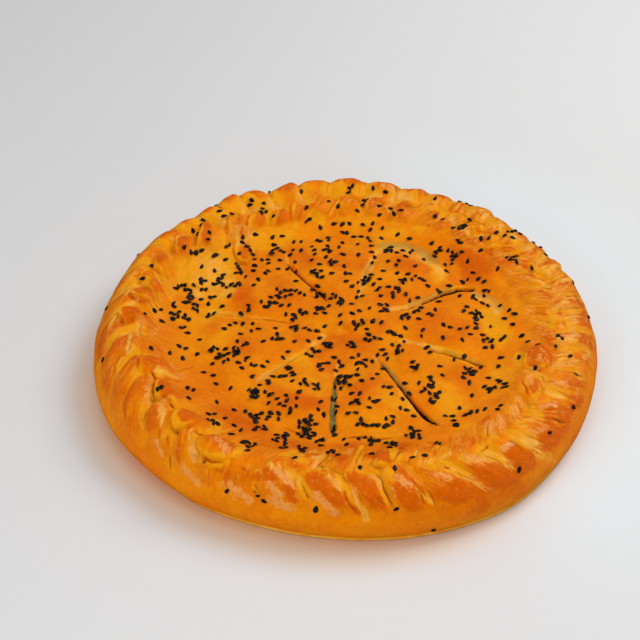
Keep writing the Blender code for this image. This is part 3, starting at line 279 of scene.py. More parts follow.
    ("C", 1.0, 0.6, (198, -9), (201, -14), (204.5, -18)), ("C", 0.6, 0.9, (203.5, -5), (208, -5)), ("C", 0.6, 0.9, (208, -4), (211, -1), (214, 0.6)), ("C", 0.6, 0.6, (234.5, -1), (240.5, -6)),
    ("F", 2.4, 0.8, (236, -1), (240, 2)), ("C", 0.6, 1.0, (235.5, 9), (238, 9.4), (241, 7)), ("F", 1.8, 0.7, (201, -15), (207, -18)), ("C", 0.5, 0.8, (221, -6), (221.4, 0)),
    # domes of the back fingers
    ("D", 3.8, 1.28, (71.5, -4), (72.5, -9)), ("D", 3.8, 1.28, (80.8, -7), (82, -12)), ("D", 3.8, 1.28, (90, -8), (91.5, -13)), ("D", 4.0, 1.28, (98, -6), (100, -12)),
    ("D", 3.4, 1.12, (106.5, -8), (108, -13)), ("D", 3.4, 1.12, (111.8, -8), (114, -13)), ("D", 4.0, 1.28, (120.3, -9), (122.5, -14)), ("D", 4.0, 1.44, (127.5, -4), (130, -10)),
    ("D", 4.6, 1.60, (136, -3), (140, -9)), ("D", 4.0, 1.28, (145.5, -1), (148, -5)), ("D", 4.0, 1.12, (154.5, -1), (157, -5)), ("D", 3.4, 0.96, (163, 1), (165, -3)),
    ("D", 3.0, 1.28, (169.8, 0), (170.5, -4)), ("D", 3.6, 1.44, (178, 2), (180, -3)),
    # domes of the outer lobes there
    ("D", 4.0, 0.25, (63, 8), (66, 8.5)), ("D", 4.2, 0.30, (70, 7.5), (73.5, 8)), ("D", 4.2, 0.40, (79, 8), (82, 8.5)), ("D", 4.4, 0.62, (89, 7.5), (92.5, 8)),
    ("D", 4.2, 0.56, (98, 8), (101, 8.5)), ("D", 4.6, 0.68, (106.5, 7), (110, 8)), ("D", 4.2, 0.68, (115.5, 7), (118, 7.5)), ("D", 4.2, 0.68, (122, 8.5), (125, 8)),
    ("D", 4.2, 0.62, (130, 8), (133, 8.5)), ("D", 4.2, 0.56, (138, 8), (141, 8.5)), ("D", 4.2, 0.50, (146, 8), (149, 8.5)), ("D", 4.0, 0.43, (155, 8), (158, 8.5)),
    ("C", 0.6, 0.6, (67.8, 5), (68.4, 12)), ("C", 0.6, 0.6, (76.2, 5), (77, 12)), ("C", 0.6, 0.6, (85.2, 5), (86, 12)), ("C", 0.6, 0.6, (95, 5), (95.6, 12)),
    ("C", 0.6, 0.6, (103.2, 5), (104, 12)), ("C", 0.6, 0.6, (112.4, 5), (113, 12)), ("C", 0.6, 0.6, (119.8, 5), (120.4, 12)), ("C", 0.6, 0.6, (127.2, 5), (128, 12)),
    ("C", 0.6, 0.5, (135, 5), (136, 12)), ("C", 0.6, 0.5, (143.2, 5), (144, 12)),
    ("P", 2.6, 0.9, (101.5, -3), (104.5, -2)), ("P", 2.8, 0.9, (112, 0), (115.5, -1)), ("P", 3.2, 1.0, (118.5, 1), (122, 2)), ("P", 3.0, 1.0, (127.5, 3), (131, 1)), ("P", 3.0, 0.8, (92, 2), (96, 2)),
    ("P", 3.4, 0.8, (139, -14), (146, -20)), ("P", 3.0, 0.8, (150, -12), (156, -18)), ("P", 2.6, 0.8, (71, 2), (76, 3)), ("P", 2.6, 0.8, (82, 1), (87, 2)), ("P", 2.4, 0.7, (133, 4), (137, 5)),
)


# How strongly the folds stand out round the turn, and how wrinkled the skin is.
FOLD_STRENGTH = ((0, 1.25), (18, 1.4), (30, 1.4), (55, 1.25), (70, 1.1), (90, 1.05), (130, 1.15),
                 (150, 1.1), (165, 1.0), (200, 0.85), (215, 1.0), (240, 1.0), (300, 0.95), (350, 1.0))
WRINKLE_STRENGTH = ((0, 0.55), (20, 0.9), (50, 1.0), (65, 0.6), (90, 0.25), (130, 0.3), (155, 0.8),
                    (190, 1.0), (215, 0.8), (240, 0.5), (290, 0.6), (310, 0.8), (330, 0.5))
# How much darker (+) or lighter (-) each side was baked.
BAKE = ((0, -0.05), (20, -0.15), (50, -0.17), (75, -0.16), (90, -0.16), (120, -0.28), (150, -0.33), (170, -0.20), (190, -0.02),
        (205, 0.05), (225, -0.10), (250, -0.10), (275, 0.05), (300, 0.32), (325, 0.16), (345, 0.05))

# How brown the brown marks are there.
BROWN_SHARE = ((0, 0.85), (20, 0.80), (60, 0.56), (100, 0.46), (160, 0.50), (185, 0.55), (215, 0.60), (235, 0.80), (255, 0.95), (330, 0.95), (350, 0.88))
# How much yellower the dough is there.
YELLOW = ((0, 0.10), (12, 0.20), (60, 0.28), (90, 0.26), (130, 0.30), (160, 0.26), (185, 0.10), (220, 0.05), (260, 0.0), (335, 0.0), (350, 0.05))
# How much of the skin has the fine glossy texture and its painted peach sheen.
GLOSS_AND_SHEEN_SHARE = ((0, 0.55), (30, 0.55), (60, 0.45), (90, 0.35), (120, 0.30), (160, 0.35), (185, 0.40), (220, 0.25), (300, 0.25), (330, 0.40))
# How flaky the crust is there.
FLAKY = ((0, 0.55), (20, 0.65), (45, 0.65), (65, 0.35), (90, 0.12), (130, 0.12), (155, 0.25), (180, 0.32), (200, 0.30),
         (230, 0.35), (260, 0.45), (290, 0.50), (315, 0.65), (335, 0.50))
# Where the crest of the rim stands further out, as angle, half width and mm.
CREST_BULGES = ((87.0, 14.0, 1.5), (111.0, 4.5, -1.2), (150.0, 9.0, 1.0))

PER_FOLD = 32
COLUMNS = len(OUTER) * PER_FOLD


# ----------------------------------------------------------------- small tools
def smooth(low, high, x):
    """0 below low, 1 above high, smooth between."""
    t = np.clip((x - low) / (high - low), 0.0, 1.0)
    return t * t * (3 - 2 * t)


def waves(angle, pairs):
    out = np.zeros_like(angle)
    for n, (a, b) in enumerate(pairs, 1):
        out = out + a * np.cos(n * angle) + b * np.sin(n * angle)
    return out


def turned(degrees):
    """An angle difference brought into -180..180."""
    return (np.asarray(degrees) + 180.0) % 360.0 - 180.0


_dice = np.random.default_rng(20)
_PERM = np.concatenate([_dice.permutation(256)] * 3)
_GRAD = _dice.normal(size=(256, 3))
_GRAD /= np.linalg.norm(_GRAD, axis=1)[:, None]


def noise(points, size):
    """Smooth gradient noise of about -1..1 with bumps of that size in mm."""
    p = points / size
    cell = np.floor(p).astype(np.int64)
    f = p - cell
    cell &= 255
    w = f * f * f * (f * (f * 6 - 15) + 10)
    total = np.zeros(p.shape[:-1])
    for dx in (0, 1):
        for dy in (0, 1):
            for dz in (0, 1):
                a = _PERM[(cell[..., 0] + dx) & 255]
                b = _PERM[a + ((cell[..., 1] + dy) & 255)]
                g = _GRAD[_PERM[b + ((cell[..., 2] + dz) & 255)]]
                away = f - np.array((dx, dy, dz))
                share = (
                    (w[..., 0] if dx else 1 - w[..., 0])
                    * (w[..., 1] if dy else 1 - w[..., 1])
                    * (w[..., 2] if dz else 1 - w[..., 2])
                )
                total += share * (g * away).sum(-1)
    return total * 1.7


def ring_interp(angle, table):
    """Value at an angle from ((angle, value), ...) round the turn."""
    rows = sorted((a % 360.0, v) for a, v in table)
    a = np.array([r[0] for r in rows])
    v = np.array([r[1] for r in rows])
    return np.interp(np.asarray(angle) % 360.0, a, v, period=360.0)


# ------------------------------------------------------------------ the profile
def along_profile(place):
    """Smooth curve through PROFILE at fractional point numbers."""
    last = len(PROFILE) - 1
    i = np.clip(np.floor(place).astype(int), 0, last - 1)
    t = (place - i)[..., None]
    pick = lambda k: PROFILE[np.clip(k, 0, last)]
    p0, p1, p2, p3 = pick(i - 1), pick(i), pick(i + 1), pick(i + 2)
    mirrored = p1 + (p1 - p2) * np.array([1.0, -1.0, 1.0, 1.0, 1.0])
    p0 = np.where((i == 0)[..., None], mirrored, p0)
    return 0.5 * (
        2 * p1
        + (p2 - p0) * t
        + (2 * p0 - 5 * p1 + 4 * p2 - p3) * t**2
        + (3 * p1 - p0 - 3 * p2 + p3) * t**3
    )


_steps = np.linspace(0, len(PROFILE) - 1, 4001)
_rz = along_profile(_steps)[:, :2]
_run = np.concatenate([[0], np.cumsum(np.hypot(*np.diff(_rz, axis=0).T))])
RUN_LENGTH = _run[-1]
CRIMP_RUN = np.interp(CRIMP_PLACE, _steps, _run)


def place_at(run):
    return np.interp(run, _run, _steps)


def run_at_radius(r):
    """Distance along the profile to a radius on its upper side."""
    top = int(np.argmax(_rz[:, 0]))
    return np.interp(r, _rz[:top, 0], _run[:top])


# ------------------------------------------------------------------- the folds
OUTER_ANGLE = np.array([a for a, _ in OUTER])
OUTER_LEAN = np.array([b for _, b in OUTER])
_fold_dice = np.random.default_rng(5)
OUTER_HIGH = 1.0 + 0.16 * _fold_dice.uniform(-1, 1, len(OUTER))
OUTER_REACH = 23.5 + 4.0 * _fold_dice.uniform(-1, 1, len(OUTER))
OUTER_CREST = 0.40 + 0.08 * _fold_dice.uniform(-1, 1, len(OUTER))
OUTER_TIP = 4.5 + 1.8 * _fold_dice.uniform(-1, 1, len(OUTER))
INNER_ROWS = np.array(INNER, float)
INNER_AWAY = run_at_radius(INNER_ROWS[:, 1]) - CRIMP_RUN
INNER_REACH = 17.5 + 3.0 * _fold_dice.uniform(-1, 1, len(INNER))


def pad(across, along, crest, reach, blunt, flat=2.6):
    """A puffed fold: height, and how far inside its outline a point is.

    across is 0 at the free edge and 1 at the next fold's free edge; along is 0
    at the rounded tip and 1 at the tail; crest is where across it is highest,
    reach how far it runs under its neighbour."""
    along = np.clip(along, 0.0, 1.0)
    tip = np.sqrt(np.clip(1 - (1 - np.minimum(along / blunt, 1.0)) ** 2, 0, 1))
    u = (across - crest) / np.maximum(tip, 1e-3)
    t = np.where(u < 0, -u / crest, u / (reach - crest))
    t = np.clip(t, 0, 1)
    side = np.where(u < 0, (1 - t**flat) ** 0.62, (1 - t**1.7) ** 1.1)
    tail = smooth(0.0, 0.66, 1 - along)
    inside = np.clip(1 - t, 0, 1) * tip
    return side * tip**0.7 * tail, inside


def outer_folds(column, away):
    """Height and marks of the outer row, in column and crimp-distance terms."""
    count = column / PER_FOLD
    k = np.floor(count).astype(int)
    best = np.zeros_like(away)
    second = np.zeros_like(away)
    own = np.zeros(away.shape, int)
    inside = np.zeros_like(away)
    for step in (-1, 0, 1):
        n = (k + step) % len(OUTER)
        across = count - k - step
        along = (away + OUTER_TIP[n]) / (OUTER_REACH[n] + OUTER_TIP[n])
        h, i = pad(across, along, OUTER_CREST[n], 1.32, 0.26)
        h = h * OUTER_HIGH[n]
        up = h > best
        second = np.where(up, best, np.maximum(second, h))
        inside = np.where(up, i, inside)
        own = np.where(up, k + step, own)
        best = np.where(up, h, best)
    return best, second, inside, count - own, own % len(OUTER)


def inner_folds(angle, away):
    """Height and marks of the inner row, in true angle and crimp distance."""
    tips = INNER_ROWS[:, 0]
    total = len(tips)
    gap_after = turned(np.roll(tips, -1) - tips)
    gap_before = np.roll(gap_after, 1)
    best = np.zeros_like(away)
    second = np.zeros_like(away)
    inside = np.zeros_like(away)
    across_best = np.zeros_like(away)
    own = np.zeros(away.shape, int)
    lean = ring_interp(angle, [(r[0], r[2]) for r in INNER])
    upright = angle - lean * np.clip(-away / 17.0, -0.6, 1.6)
    nearest = np.searchsorted(tips, upright % 360.0) - 1
    for step in (-1, 0, 1, 2):
        n = (nearest + step) % total
        off = turned(upright - tips[n])
        width = np.where(off < 0, gap_before[n], gap_after[n]) * 0.5
        across = 0.5 + 0.5 * off / width
        along = (INNER_AWAY[n] - away) / INNER_REACH[n]
        h, i = pad(across, along, 0.46, 1.16, 0.34)
        h = h * INNER_ROWS[n, 3]
        up = h > best
        second = np.where(up, best, np.maximum(second, h))
        inside = np.where(up, i, inside)
        across_best = np.where(up, across, across_best)
        own = np.where(up, n, own)
        best = np.where(up, h, best)
    return best, second, inside, across_best, own


# ------------------------------------------------------------------- the vents
def follow(x, y, line):
    """Nearest place on a polyline whose points may carry more numbers: signed
    distance (left of its direction is +), true distance, share of its length,
    and the carried numbers there."""
    line = np.array(line, float)
    steps = np.hypot(*np.diff(line[:, :2], axis=0).T)
    start = np.concatenate([[0], np.cumsum(steps)])
    best = np.full_like(x, 1e9)
    side = np.zeros_like(x)
    share = np.zeros_like(x)
    carried = np.zeros(x.shape + (line.shape[1] - 2,))
    for i, length in enumerate(steps):
        (ax, ay), (bx, by) = line[i, :2], line[i + 1, :2]
        dx, dy = (bx - ax) / length, (by - ay) / length
        along = (x - ax) * dx + (y - ay) * dy
        t = np.clip(along / length, 0, 1)
        off_x, off_y = x - ax - t * (bx - ax), y - ay - t * (by - ay)
        d = np.hypot(off_x, off_y)
        near = d < best
        best = np.where(near, d, best)
        side = np.where(near, np.where(off_x * -dy + off_y * dx < 0, -d, d), side)
        share = np.where(near, (start[i] + t * length) / start[-1], share)
        if carried.shape[-1]:
            here = line[i, 2:] + t[..., None] * (line[i + 1, 2:] - line[i, 2:])
            carried = np.where(near[..., None], here, carried)
    return side, best, share, carried


# --------------------------------------------------------- rows of the polar mesh
def mesh_rows():
    """Rows from the middle of the lid to the foot: distance along the profile
    and number of columns."""
    rows = []
    bands = (
        (1.2, 14.0, 0.95, COLUMNS // 8),
        (14.0, 30.0, 0.75, COLUMNS // 4),
        (30.0, 52.0, 0.60, COLUMNS // 2),
        (52.0, CRIMP_RUN - 25.0, 0.60, COLUMNS),
        (CRIMP_RUN - 25.0, CRIMP_RUN + 25.0, 0.46, COLUMNS),
        (CRIMP_RUN + 25.0, RUN_LENGTH, 0.58, COLUMNS),
    )
    for start, stop, step, columns in bands:
        n = max(2, int(round((stop - start) / step)))
        last = stop == RUN_LENGTH
        for i in range(n + (1 if last else 0)):
            rows.append((start + (stop - start) * i / n, columns))
    return rows


def shift_columns(field, amount):
    return np.roll(field, amount, axis=1)


def blurred(field, across, along):
    """Box blur of a full-width grid field, given in grid steps, twice."""
    for _ in range(2):
        if across:
            pad_ = np.concatenate([field[:, -across:], field, field[:, :across]], axis=1)
            c = np.cumsum(np.insert(pad_, 0, 0, axis=1), axis=1)
            w = 2 * across + 1
            field = (c[:, w:] - c[:, :-w]) / w
        if along:
            pad_ = np.concatenate([np.repeat(field[:1], along, 0), field, np.repeat(field[-1:], along, 0)])
            c = np.cumsum(np.insert(pad_, 0, 0, axis=0), axis=0)
            w = 2 * along + 1
            field = (c[w:] - c[:-w]) / w
    return field


def crust_grid(run, column):
    """Points and marks of the crust on a grid (rows of run x columns)."""
    place = place_at(run)
    away = run - CRIMP_RUN
    q = along_profile(place)
    eps = 0.04
    ahead = along_profile(np.minimum(place + eps, len(PROFILE) - 1))
    behind = along_profile(np.maximum(place - eps, 0))
    dr, dz = ahead[..., 0] - behind[..., 0], ahead[..., 1] - behind[..., 1]
    size = np.maximum(np.hypot(dr, dz), 1e-9)
    nr, nz = -dz / size, dr / size

    # columns follow the outer creases; the row leans both ways from the crimp
    crease = np.append(OUTER_ANGLE, OUTER_ANGLE[0] + 360.0)
    seam = np.interp(column / PER_FOLD, np.arange(len(OUTER) + 1), crease)
    lean_out = np.interp(column / PER_FOLD, np.arange(len(OUTER) + 1), np.append(OUTER_LEAN, OUTER_LEAN[0]))
    lean_in = ring_interp(seam, [(r[0], r[2]) for r in INNER])
    degrees = seam + lean_out * np.clip(away / 16.0, 0, 1.4)
    degrees = degrees + lean_in * np.clip(-away / 17.0, 0, 1.0)
    angle = np.radians(degrees)

    shift = CRIMP_SHIFT[0] * np.cos(angle) + CRIMP_SHIFT[1] * np.sin(angle)
    r = q[..., 0] + q[..., 2] * shift + q[..., 3] * waves(angle, OUTLINE_WAVES)
    for middle, half, much in OUTLINE_BULGES:
        r = r + q[..., 3] * much * np.exp(-((turned(degrees - middle) / half) ** 2))
    for middle, half, much in CREST_BULGES:
        r = r + q[..., 2] * much * np.exp(-((turned(degrees - middle) / half) ** 2))
    r = r - q[..., 4] * (FOOT_TUCK + waves(angle, FOOT_WAVES))
    z = q[..., 1] * (1 + RIM_TILT * np.sin(angle) / RIM_Z)
    base = np.stack([r * np.cos(angle), r * np.sin(angle), z], -1)

    # the two rows of folds, each a little out of true
    strength = ring_interp(degrees, FOLD_STRENGTH)
    ring = np.stack([105 * np.cos(np.radians(seam)), 105 * np.sin(np.radians(seam)), away], -1)
    sway = noise(ring, 9.0)
    oh, oh2, oin, oacross, own = outer_folds(column, away + 1.3 * sway)
    ih, ih2, iin, iacross, _ = inner_folds(degrees + 0.6 * noise(ring + 40.0, 12.0), away + 1.0 * sway)
    oh, oh2 = oh * FOLD_HEIGHT * strength, oh2 * FOLD_HEIGHT * strength
    ih, ih2 = (ih * INNER_HEIGHT + 0.4 * smooth(0.0, 0.25, ih)) * (0.35 + 0.65 * strength), ih2 * INNER_HEIGHT
    inner_wins = ih > oh
    puff = np.maximum(oh, ih)

    # uneven dough: lumps, folds in its skin that run with the pleats, fine lines
    lumps = noise(base, 12.0) * 0.55 + noise(base + 31.0, 5.5) * 0.28
    on_rim = smooth(-34, -22, away) * (1 - 0.6 * smooth(22, 32, away))
    wrinkled = ring_interp(degrees, WRINKLE_STRENGTH)
    drawn = ring * np.array([1.0, 1.0, 0.30])
    bend = drawn + 1.6 * noise(ring + 7.0, 8.0)[..., None]
    pleats = 0.45 - np.abs(noise(bend, 4.6)) * 1.6
    lines = 0.4 - np.abs(noise(bend * np.array([1.0, 1.0, 1.2]) + 17.0, 2.1)) * 1.5
    zone = smooth(-20, -10, away) * (1 - smooth(16, 26, away))
    patchy = smooth(-0.25, 0.35, noise(base + 63.0, 16.0))
    puff = puff + lumps * on_rim * 0.8
    puff = puff + zone * (pleats * 0.40 + lines * 0.13) * wrinkled * (0.35 + 0.65 * patchy)
    wu = 0.45 * noise(ring + 3.0, 5.0) + 0.16 * noise(ring + 13.0, 2.2)
    wv = 0.45 * noise(ring + 23.0, 5.0) + 0.16 * noise(ring + 33.0, 2.2)
    strokes = lay_strokes(degrees, away, wu, wv, RIM_STROKES + FAR_STROKES, unit=1.8326, round_turn=360.0)
    strokes["brown"] = strokes["brown"] * ring_interp(degrees, BROWN_SHARE)
    return dict(
        run=run, away=away, degrees=degrees, angle=angle, base=base, r=r, z=z,
        nr=nr, nz=nz, puff=puff, oh=oh, ih=ih, inner_wins=inner_wins, oin=oin,
        iin=iin, oacross=oacross, iacross=iacross, seam=seam, lumps=lumps, own=own,
        pleats=pleats * zone * wrinkled, lines=lines * zone * wrinkled, ring=ring,
        strokes=strokes,
    )


def far_strokes():
    """The far side of the wall gets the marks of the near side's outer folds,
    moved to the same places on other folds."""
    at = np.concatenate([OUTER_ANGLE - 360, OUTER_ANGLE, OUTER_ANGLE + 360])
    lean = np.tile(OUTER_LEAN, 3)
    number = np.arange(-len(OUTER), 2 * len(OUTER), dtype=float)
    out = []
    for kind, width, much, *line in RIM_STROKES:
        line = np.array(line, float)
        if line[:, 0].min() < 239.5 or line[:, 0].max() > 346 or line[:, 1].min() < 6:
            continue
        out_run = np.clip(line[:, 1] / 16.0, 0, 1.4)
        seam = line[:, 0] - np.interp(line[:, 0] - 4, at, lean) * out_run
        for back in (26, 15):
            n = np.interp(seam, at, number) - back
            moved = np.interp(n, number, at)
            moved = moved + np.interp(moved, at, lean) * out_run
            if 22 < moved.min() and moved.max() < 166:
                out.append((kind, width, 0.8 * much) + tuple(zip(moved.tolist(), line[:, 1].tolist())))
    return tuple(out)


# Marks on the lid, in the same form as RIM_STROKES but with x, y in mm.
LID_STROKES = (
    # the end of a long pad of the back left, lying on the lid
    ("E", 2.6, 0.9, (-56, 66), (-56, 56), (-53, 48), (-49, 46.5), (-45.5, 53), (-44.5, 62)), ("D", 4.2, 0.7, (-51, 66), (-50.5, 52)), ("B", 3.0, 0.35, (-51, 58), (-50, 50)),
    # browner patches
    ("B", 5.0, 0.8, (-50, 23), (-48, 16)), ("B", 7.5, 0.75, (56, 58), (65, 44)), ("B", 6.0, 0.3, (72, 30), (80, 22)),
    ("B", 7.0, 0.35, (42, 5), (47, -3)), ("B", 6.0, 0.5, (29, 45), (37, 42)), ("B", 6.0, 0.5, (-3, 48), (7, 45)),
    ("B", 7.0, 0.6, (-52, -58), (-44, -66)), ("B", 5.0, 0.3, (8, -69), (26, -70)), ("B", 6.0, 0.4, (-28, 52), (-22, 48)),
    ("B", 6.0, 0.25, (-24, -46), (-14, -52)), ("B", 6.0, 0.4, (-34, 28), (-28, 20)),
    ("B", 5.0, 0.4, (-62, -34), (-58, -46)), ("B", 5.0, 0.4, (-70, -48), (-62, -58)), ("B", 5.0, 0.1, (16, 30), (22, 24)),
    ("B", 6.0, 0.4, (-2, -6), (8, -10)), ("B", 6.0, 0.4, (-40, -6), (-46, -14)), ("B", 6.0, 0.4, (50, -34), (56, -40)),
    # the shaded dough beside the open vents
    ("B", 1.3, 0.6, (-27.0, 43.0), (-21.4, 36.2), (-16.0, 29.4), (-12.4, 23.4)),
    ("B", 1.3, 0.6, (17.0, -24.0), (21.6, -32.0), (26.6, -40.6), (31.4, -48.6), (36.5, -57.5)),
    ("C", 0.8, 1.0, (24.0, -38.0), (28.4, -46.0), (33.0, -53.6), (39.4, -62.6)), ("O", 1.3, 0.9, (17.5, -24.5), (23.0, -34.4), (28.8, -44.6)),
    ("C", 1.0, 1.0, (46.4, 24.8), (54.0, 29.6), (63.0, 31.0)), ("C", 0.9, 1.0, (52, -19.6), (64, -24.2)),
    ("C", 0.7, 1.0, (-28.0, 44.0), (-21.8, 34.8), (-17.6, 29.2), (-13.2, 23.8), (-9.6, 18.6)),
    ("C", 0.7, 1.0, (60.2, 30.4), (54.0, 29.4), (47.4, 25.4), (41.0, 21.2), (35.0, 17.4)),
    ("C", 0.6, 0.8, (62.0, -23.4), (55.0, -20.6), (45.6, -16.4), (38.0, -13.2)),
    ("C", 0.7, 0.6, (24, 11.8), (32, 14.8), (40, 19.6)),
    ("B", 5.0, 0.35, (-22, -50), (-8, -54)), ("B", 5.0, 0.5, (-20, -10), (-14, -16)), ("B", 6.0, 0.35, (50, 12), (58, 5)),
    ("B", 5.0, 0.25, (-30, -52), (-36, -44)), ("B", 5.0, 0.4, (8, 6), (16, 0)), ("B", 4.0, 0.5, (6, -44), (14, -36)),
    # yellower and paler zones
    ("P", 8.0, 0.6, (-60, 44), (-58, 30)), ("K", 7.5, 0.66, (-66, 46), (-61, 28)), ("K", 5.0, 0.6, (-54, 62), (-50, 68)), ("K", 5.0, 0.55, (-72, 24), (-71, 42)), ("P", 7.0, 0.6, (-72, 40), (-66, 52)), ("P", 5.0, 0.5, (-62, 18), (-66, 6)),
    ("P", 6.0, 0.7, (46, -44), (50, -54)), ("P", 6.0, 0.7, (70, 8), (72, -6)), ("P", 5.0, 0.5, (42, 42), (46, 34)),
    ("P", 6.0, 0.5, (-16, -14), (-20, -22)), ("P", 5.0, 0.5, (20, -48), (28, -54)), ("P", 6.0, 0.5, (-40, 62), (-32, 66)),
    ("P", 6.0, 0.4, (24, 68), (10, 66)), ("P", 4.0, 0.5, (66, 12), (70, 2)), ("P", 5.0, 0.4, (-12, -36), (-14, -46)),
    ("P", 5.0, 0.5, (70, -26), (76, -36)), ("P", 5.0, 0.4, (-58, -4), (-62, -14)), ("P", 4.0, 0.4, (-12, 2), (-4, -2)),
    # stretched skin
    ("K", 2.4, 0.85, (15, 56), (20, 62), (26, 61.5), (33, 58), (39, 53), (43, 47), (46, 40)),
    ("K", 4.6, 0.6, (20, 60), (30, 57), (38, 51)), ("O", 3.4, 0.7, (18, 62), (28, 63), (37, 58), (43, 50)), ("K", 3.0, 0.45, (41, 48), (46, 38)),
    ("K", 2.4, 0.75, (62, 25.5), (67, 23.5), (70.5, 19), (72.5, 14)), ("O", 2.4, 0.5, (62, 27), (70, 23), (74, 15)),
    ("K", 2.0, 0.8, (12.6, 50), (9.4, 38), (7.8, 30)), ("O", 1.8, 0.5, (11, 46), (8.4, 34)),
    ("K", 1.0, 0.7, (15.6, 57), (12.4, 48), (9, 38), (7.4, 29), (5.6, 20.5)),
    ("K", 1.5, 0.65, (20, 12.4), (29, 15.4), (36, 19.2), (44, 24.4)), ("O", 1.2, 0.7, (30, 16.4), (38, 21.2), (45, 25.6), (50, 29.2)),
    ("K", 1.3, 0.7, (26, -8.4), (36, -11.2), (44, -14.4)), ("P", 1.6, 0.8, (44, -14.2), (54, -18.2)), ("O", 1.0, 0.6, (46, -15.0), (56, -19.0), (63, -22.2)),
    ("K", 1.6, 0.6, (25, -44), (31, -54)), ("O", 1.2, 0.4, (42, -62.5), (47, -57)), ("K", 0.8, 0.6, (13.4, -18.4), (16, -24)),
    ("K", 1.0, 0.8, (-3.4, -23.4), (-4.4, -31), (-4.9, -36)),
    ("K", 1.6, 0.6, (-41, -37), (-34, -30.4), (-31, -27.5)), ("K", 1.1, 0.5, (-31, -27.5), (-25.6, -22), (-19, -15)), ("O", 1.4, 0.4, (-38, -34), (-26, -22.5)),
    ("K", 1.7, 0.7, (-15, -10.5), (-10.6, -5.4)), ("F", 1.6, 0.5, (-40, -36), (-32, -28)),
    ("K", 1.6, 0.6, (-64.6, 12), (-58, 10.4), (-51, 8.8)), ("K", 0.8, 0.4, (-51, 8.8), (-43, 6.8), (-32, 4.4)),
    ("K", 0.9, 0.6, (-29.2, 46.6), (-30.4, 54)), ("K", 0.8, 0.4, (-9.6, 18), (-4, 14.6)),
    # creases, with painted shade along them
    ("C", 0.6, 0.8, (-64.6, 11), (-53, 8.0), (-43, 5.8), (-32, 3.8), (-24, 2.8)),
    ("C", 0.6, 0.9, (63, -24.4), (55, -21.2), (45.6, -17.2), (38, -13.6)),
    ("C", 0.5, 0.5, (14.2, 54), (11.6, 47), (8.4, 37)), ("C", 0.5, 0.5, (-38, -34.6), (-25, -22.6), (-14, -10)),
    ("C", 0.6, 0.7, (36, 17.2), (30, 14.2), (24, 12.4)), ("C", 0.6, 0.5, (20, -31), (14.6, -21)),
    ("C", 1.0, 0.8, (-2, -72.6), (8, -72.8), (18, -73.4), (24, -72.4)), ("C", 0.7, 0.5, (-30, -66), (-22, -70), (-12, -73)),
    ("C", 0.5, 0.4, (-78, -34), (-70, -27)), ("C", 0.5, 0.4, (74, 56), (84, 50)), ("C", 0.5, 0.4, (-70, 61), (-66, 70)),
)


def lid_relief(x, y):
    """Height added on the lid, and its marks."""
    r = np.hypot(x, y)
    on_lid = smooth(GROOVE_R + 6, GROOVE_R - 6, r)
    flat = np.stack([x, y, np.zeros_like(x)], -1)
    wx = x + 0.35 * noise(flat + 5.0, 6.0) + 0.12 * noise(flat + 15.0, 2.5)
    wy = y + 0.35 * noise(flat + 25.0, 6.0) + 0.12 * noise(flat + 35.0, 2.5)
    relief = np.zeros_like(x)
    gap = np.zeros_like(x)
    herb = np.zeros_like(x)
    nearest = np.full_like(x, 1e9)
    for number, (line, dip) in enumerate(VENTS):
        side, d, share, carried = follow(wx, wy, line)
        half, depth = carried[..., 0], carried[..., 1]
        nearest = np.minimum(nearest, d)
        is_open = smooth(0.05, 0.35, half)
        edge = d / np.maximum(half, 0.3)
        trough = smooth(1.45, 0.35, edge) * is_open
        relief -= depth * trough
        relief -= depth * 0.8 * np.exp(-((d / 0.75) ** 2)) * (1 - is_open)
        beyond = np.maximum(d - half, 0)
        if dip:
            relief -= abs(dip) * np.exp(-beyond / 1.6) * smooth(-0.2, 0.4, side * np.sign(dip)) * smooth(0.3, 1.2, depth)
            relief += 0.35 * np.exp(-(((beyond - 0.9) / 1.0) ** 2)) * smooth(0.2, -0.4, side * np.sign(dip)) * smooth(0.3, 1.2, depth)
        # painted shade: near black down in the open gap of a vent
        vent_shade = smooth(1.25, 0.7, edge) * is_open
        if number == HERB_VENT:
            herb = np.maximum(herb, vent_shade)
            # the vent with the filling gets painted shade only along one edge
            vent_shade = 0.6 * vent_shade * smooth(0.55, 1.0, edge) * smooth(0.8, -0.8, side)
            relief += 0.25 * trough * noise(flat * 1.0 + 44.0, 1.6)
        gap = np.maximum(gap, vent_shade)
    swell = 1 - np.exp(-((nearest / 7.5) ** 2))
    relief = relief + 1.3 * (swell - 0.5) * on_lid * smooth(4, 18, r)
    relief = relief + (noise(flat, 17.0) * 0.4 + noise(flat + 9.0, 7.0) * 0.15) * smooth(GROOVE_R + 14, GROOVE_R, r)
    return relief, gap, herb, on_lid


STROKE_FIELDS = ("high", "brown", "pale", "cream", "crease_shade", "gloss_and_painted_sheen", "olive")


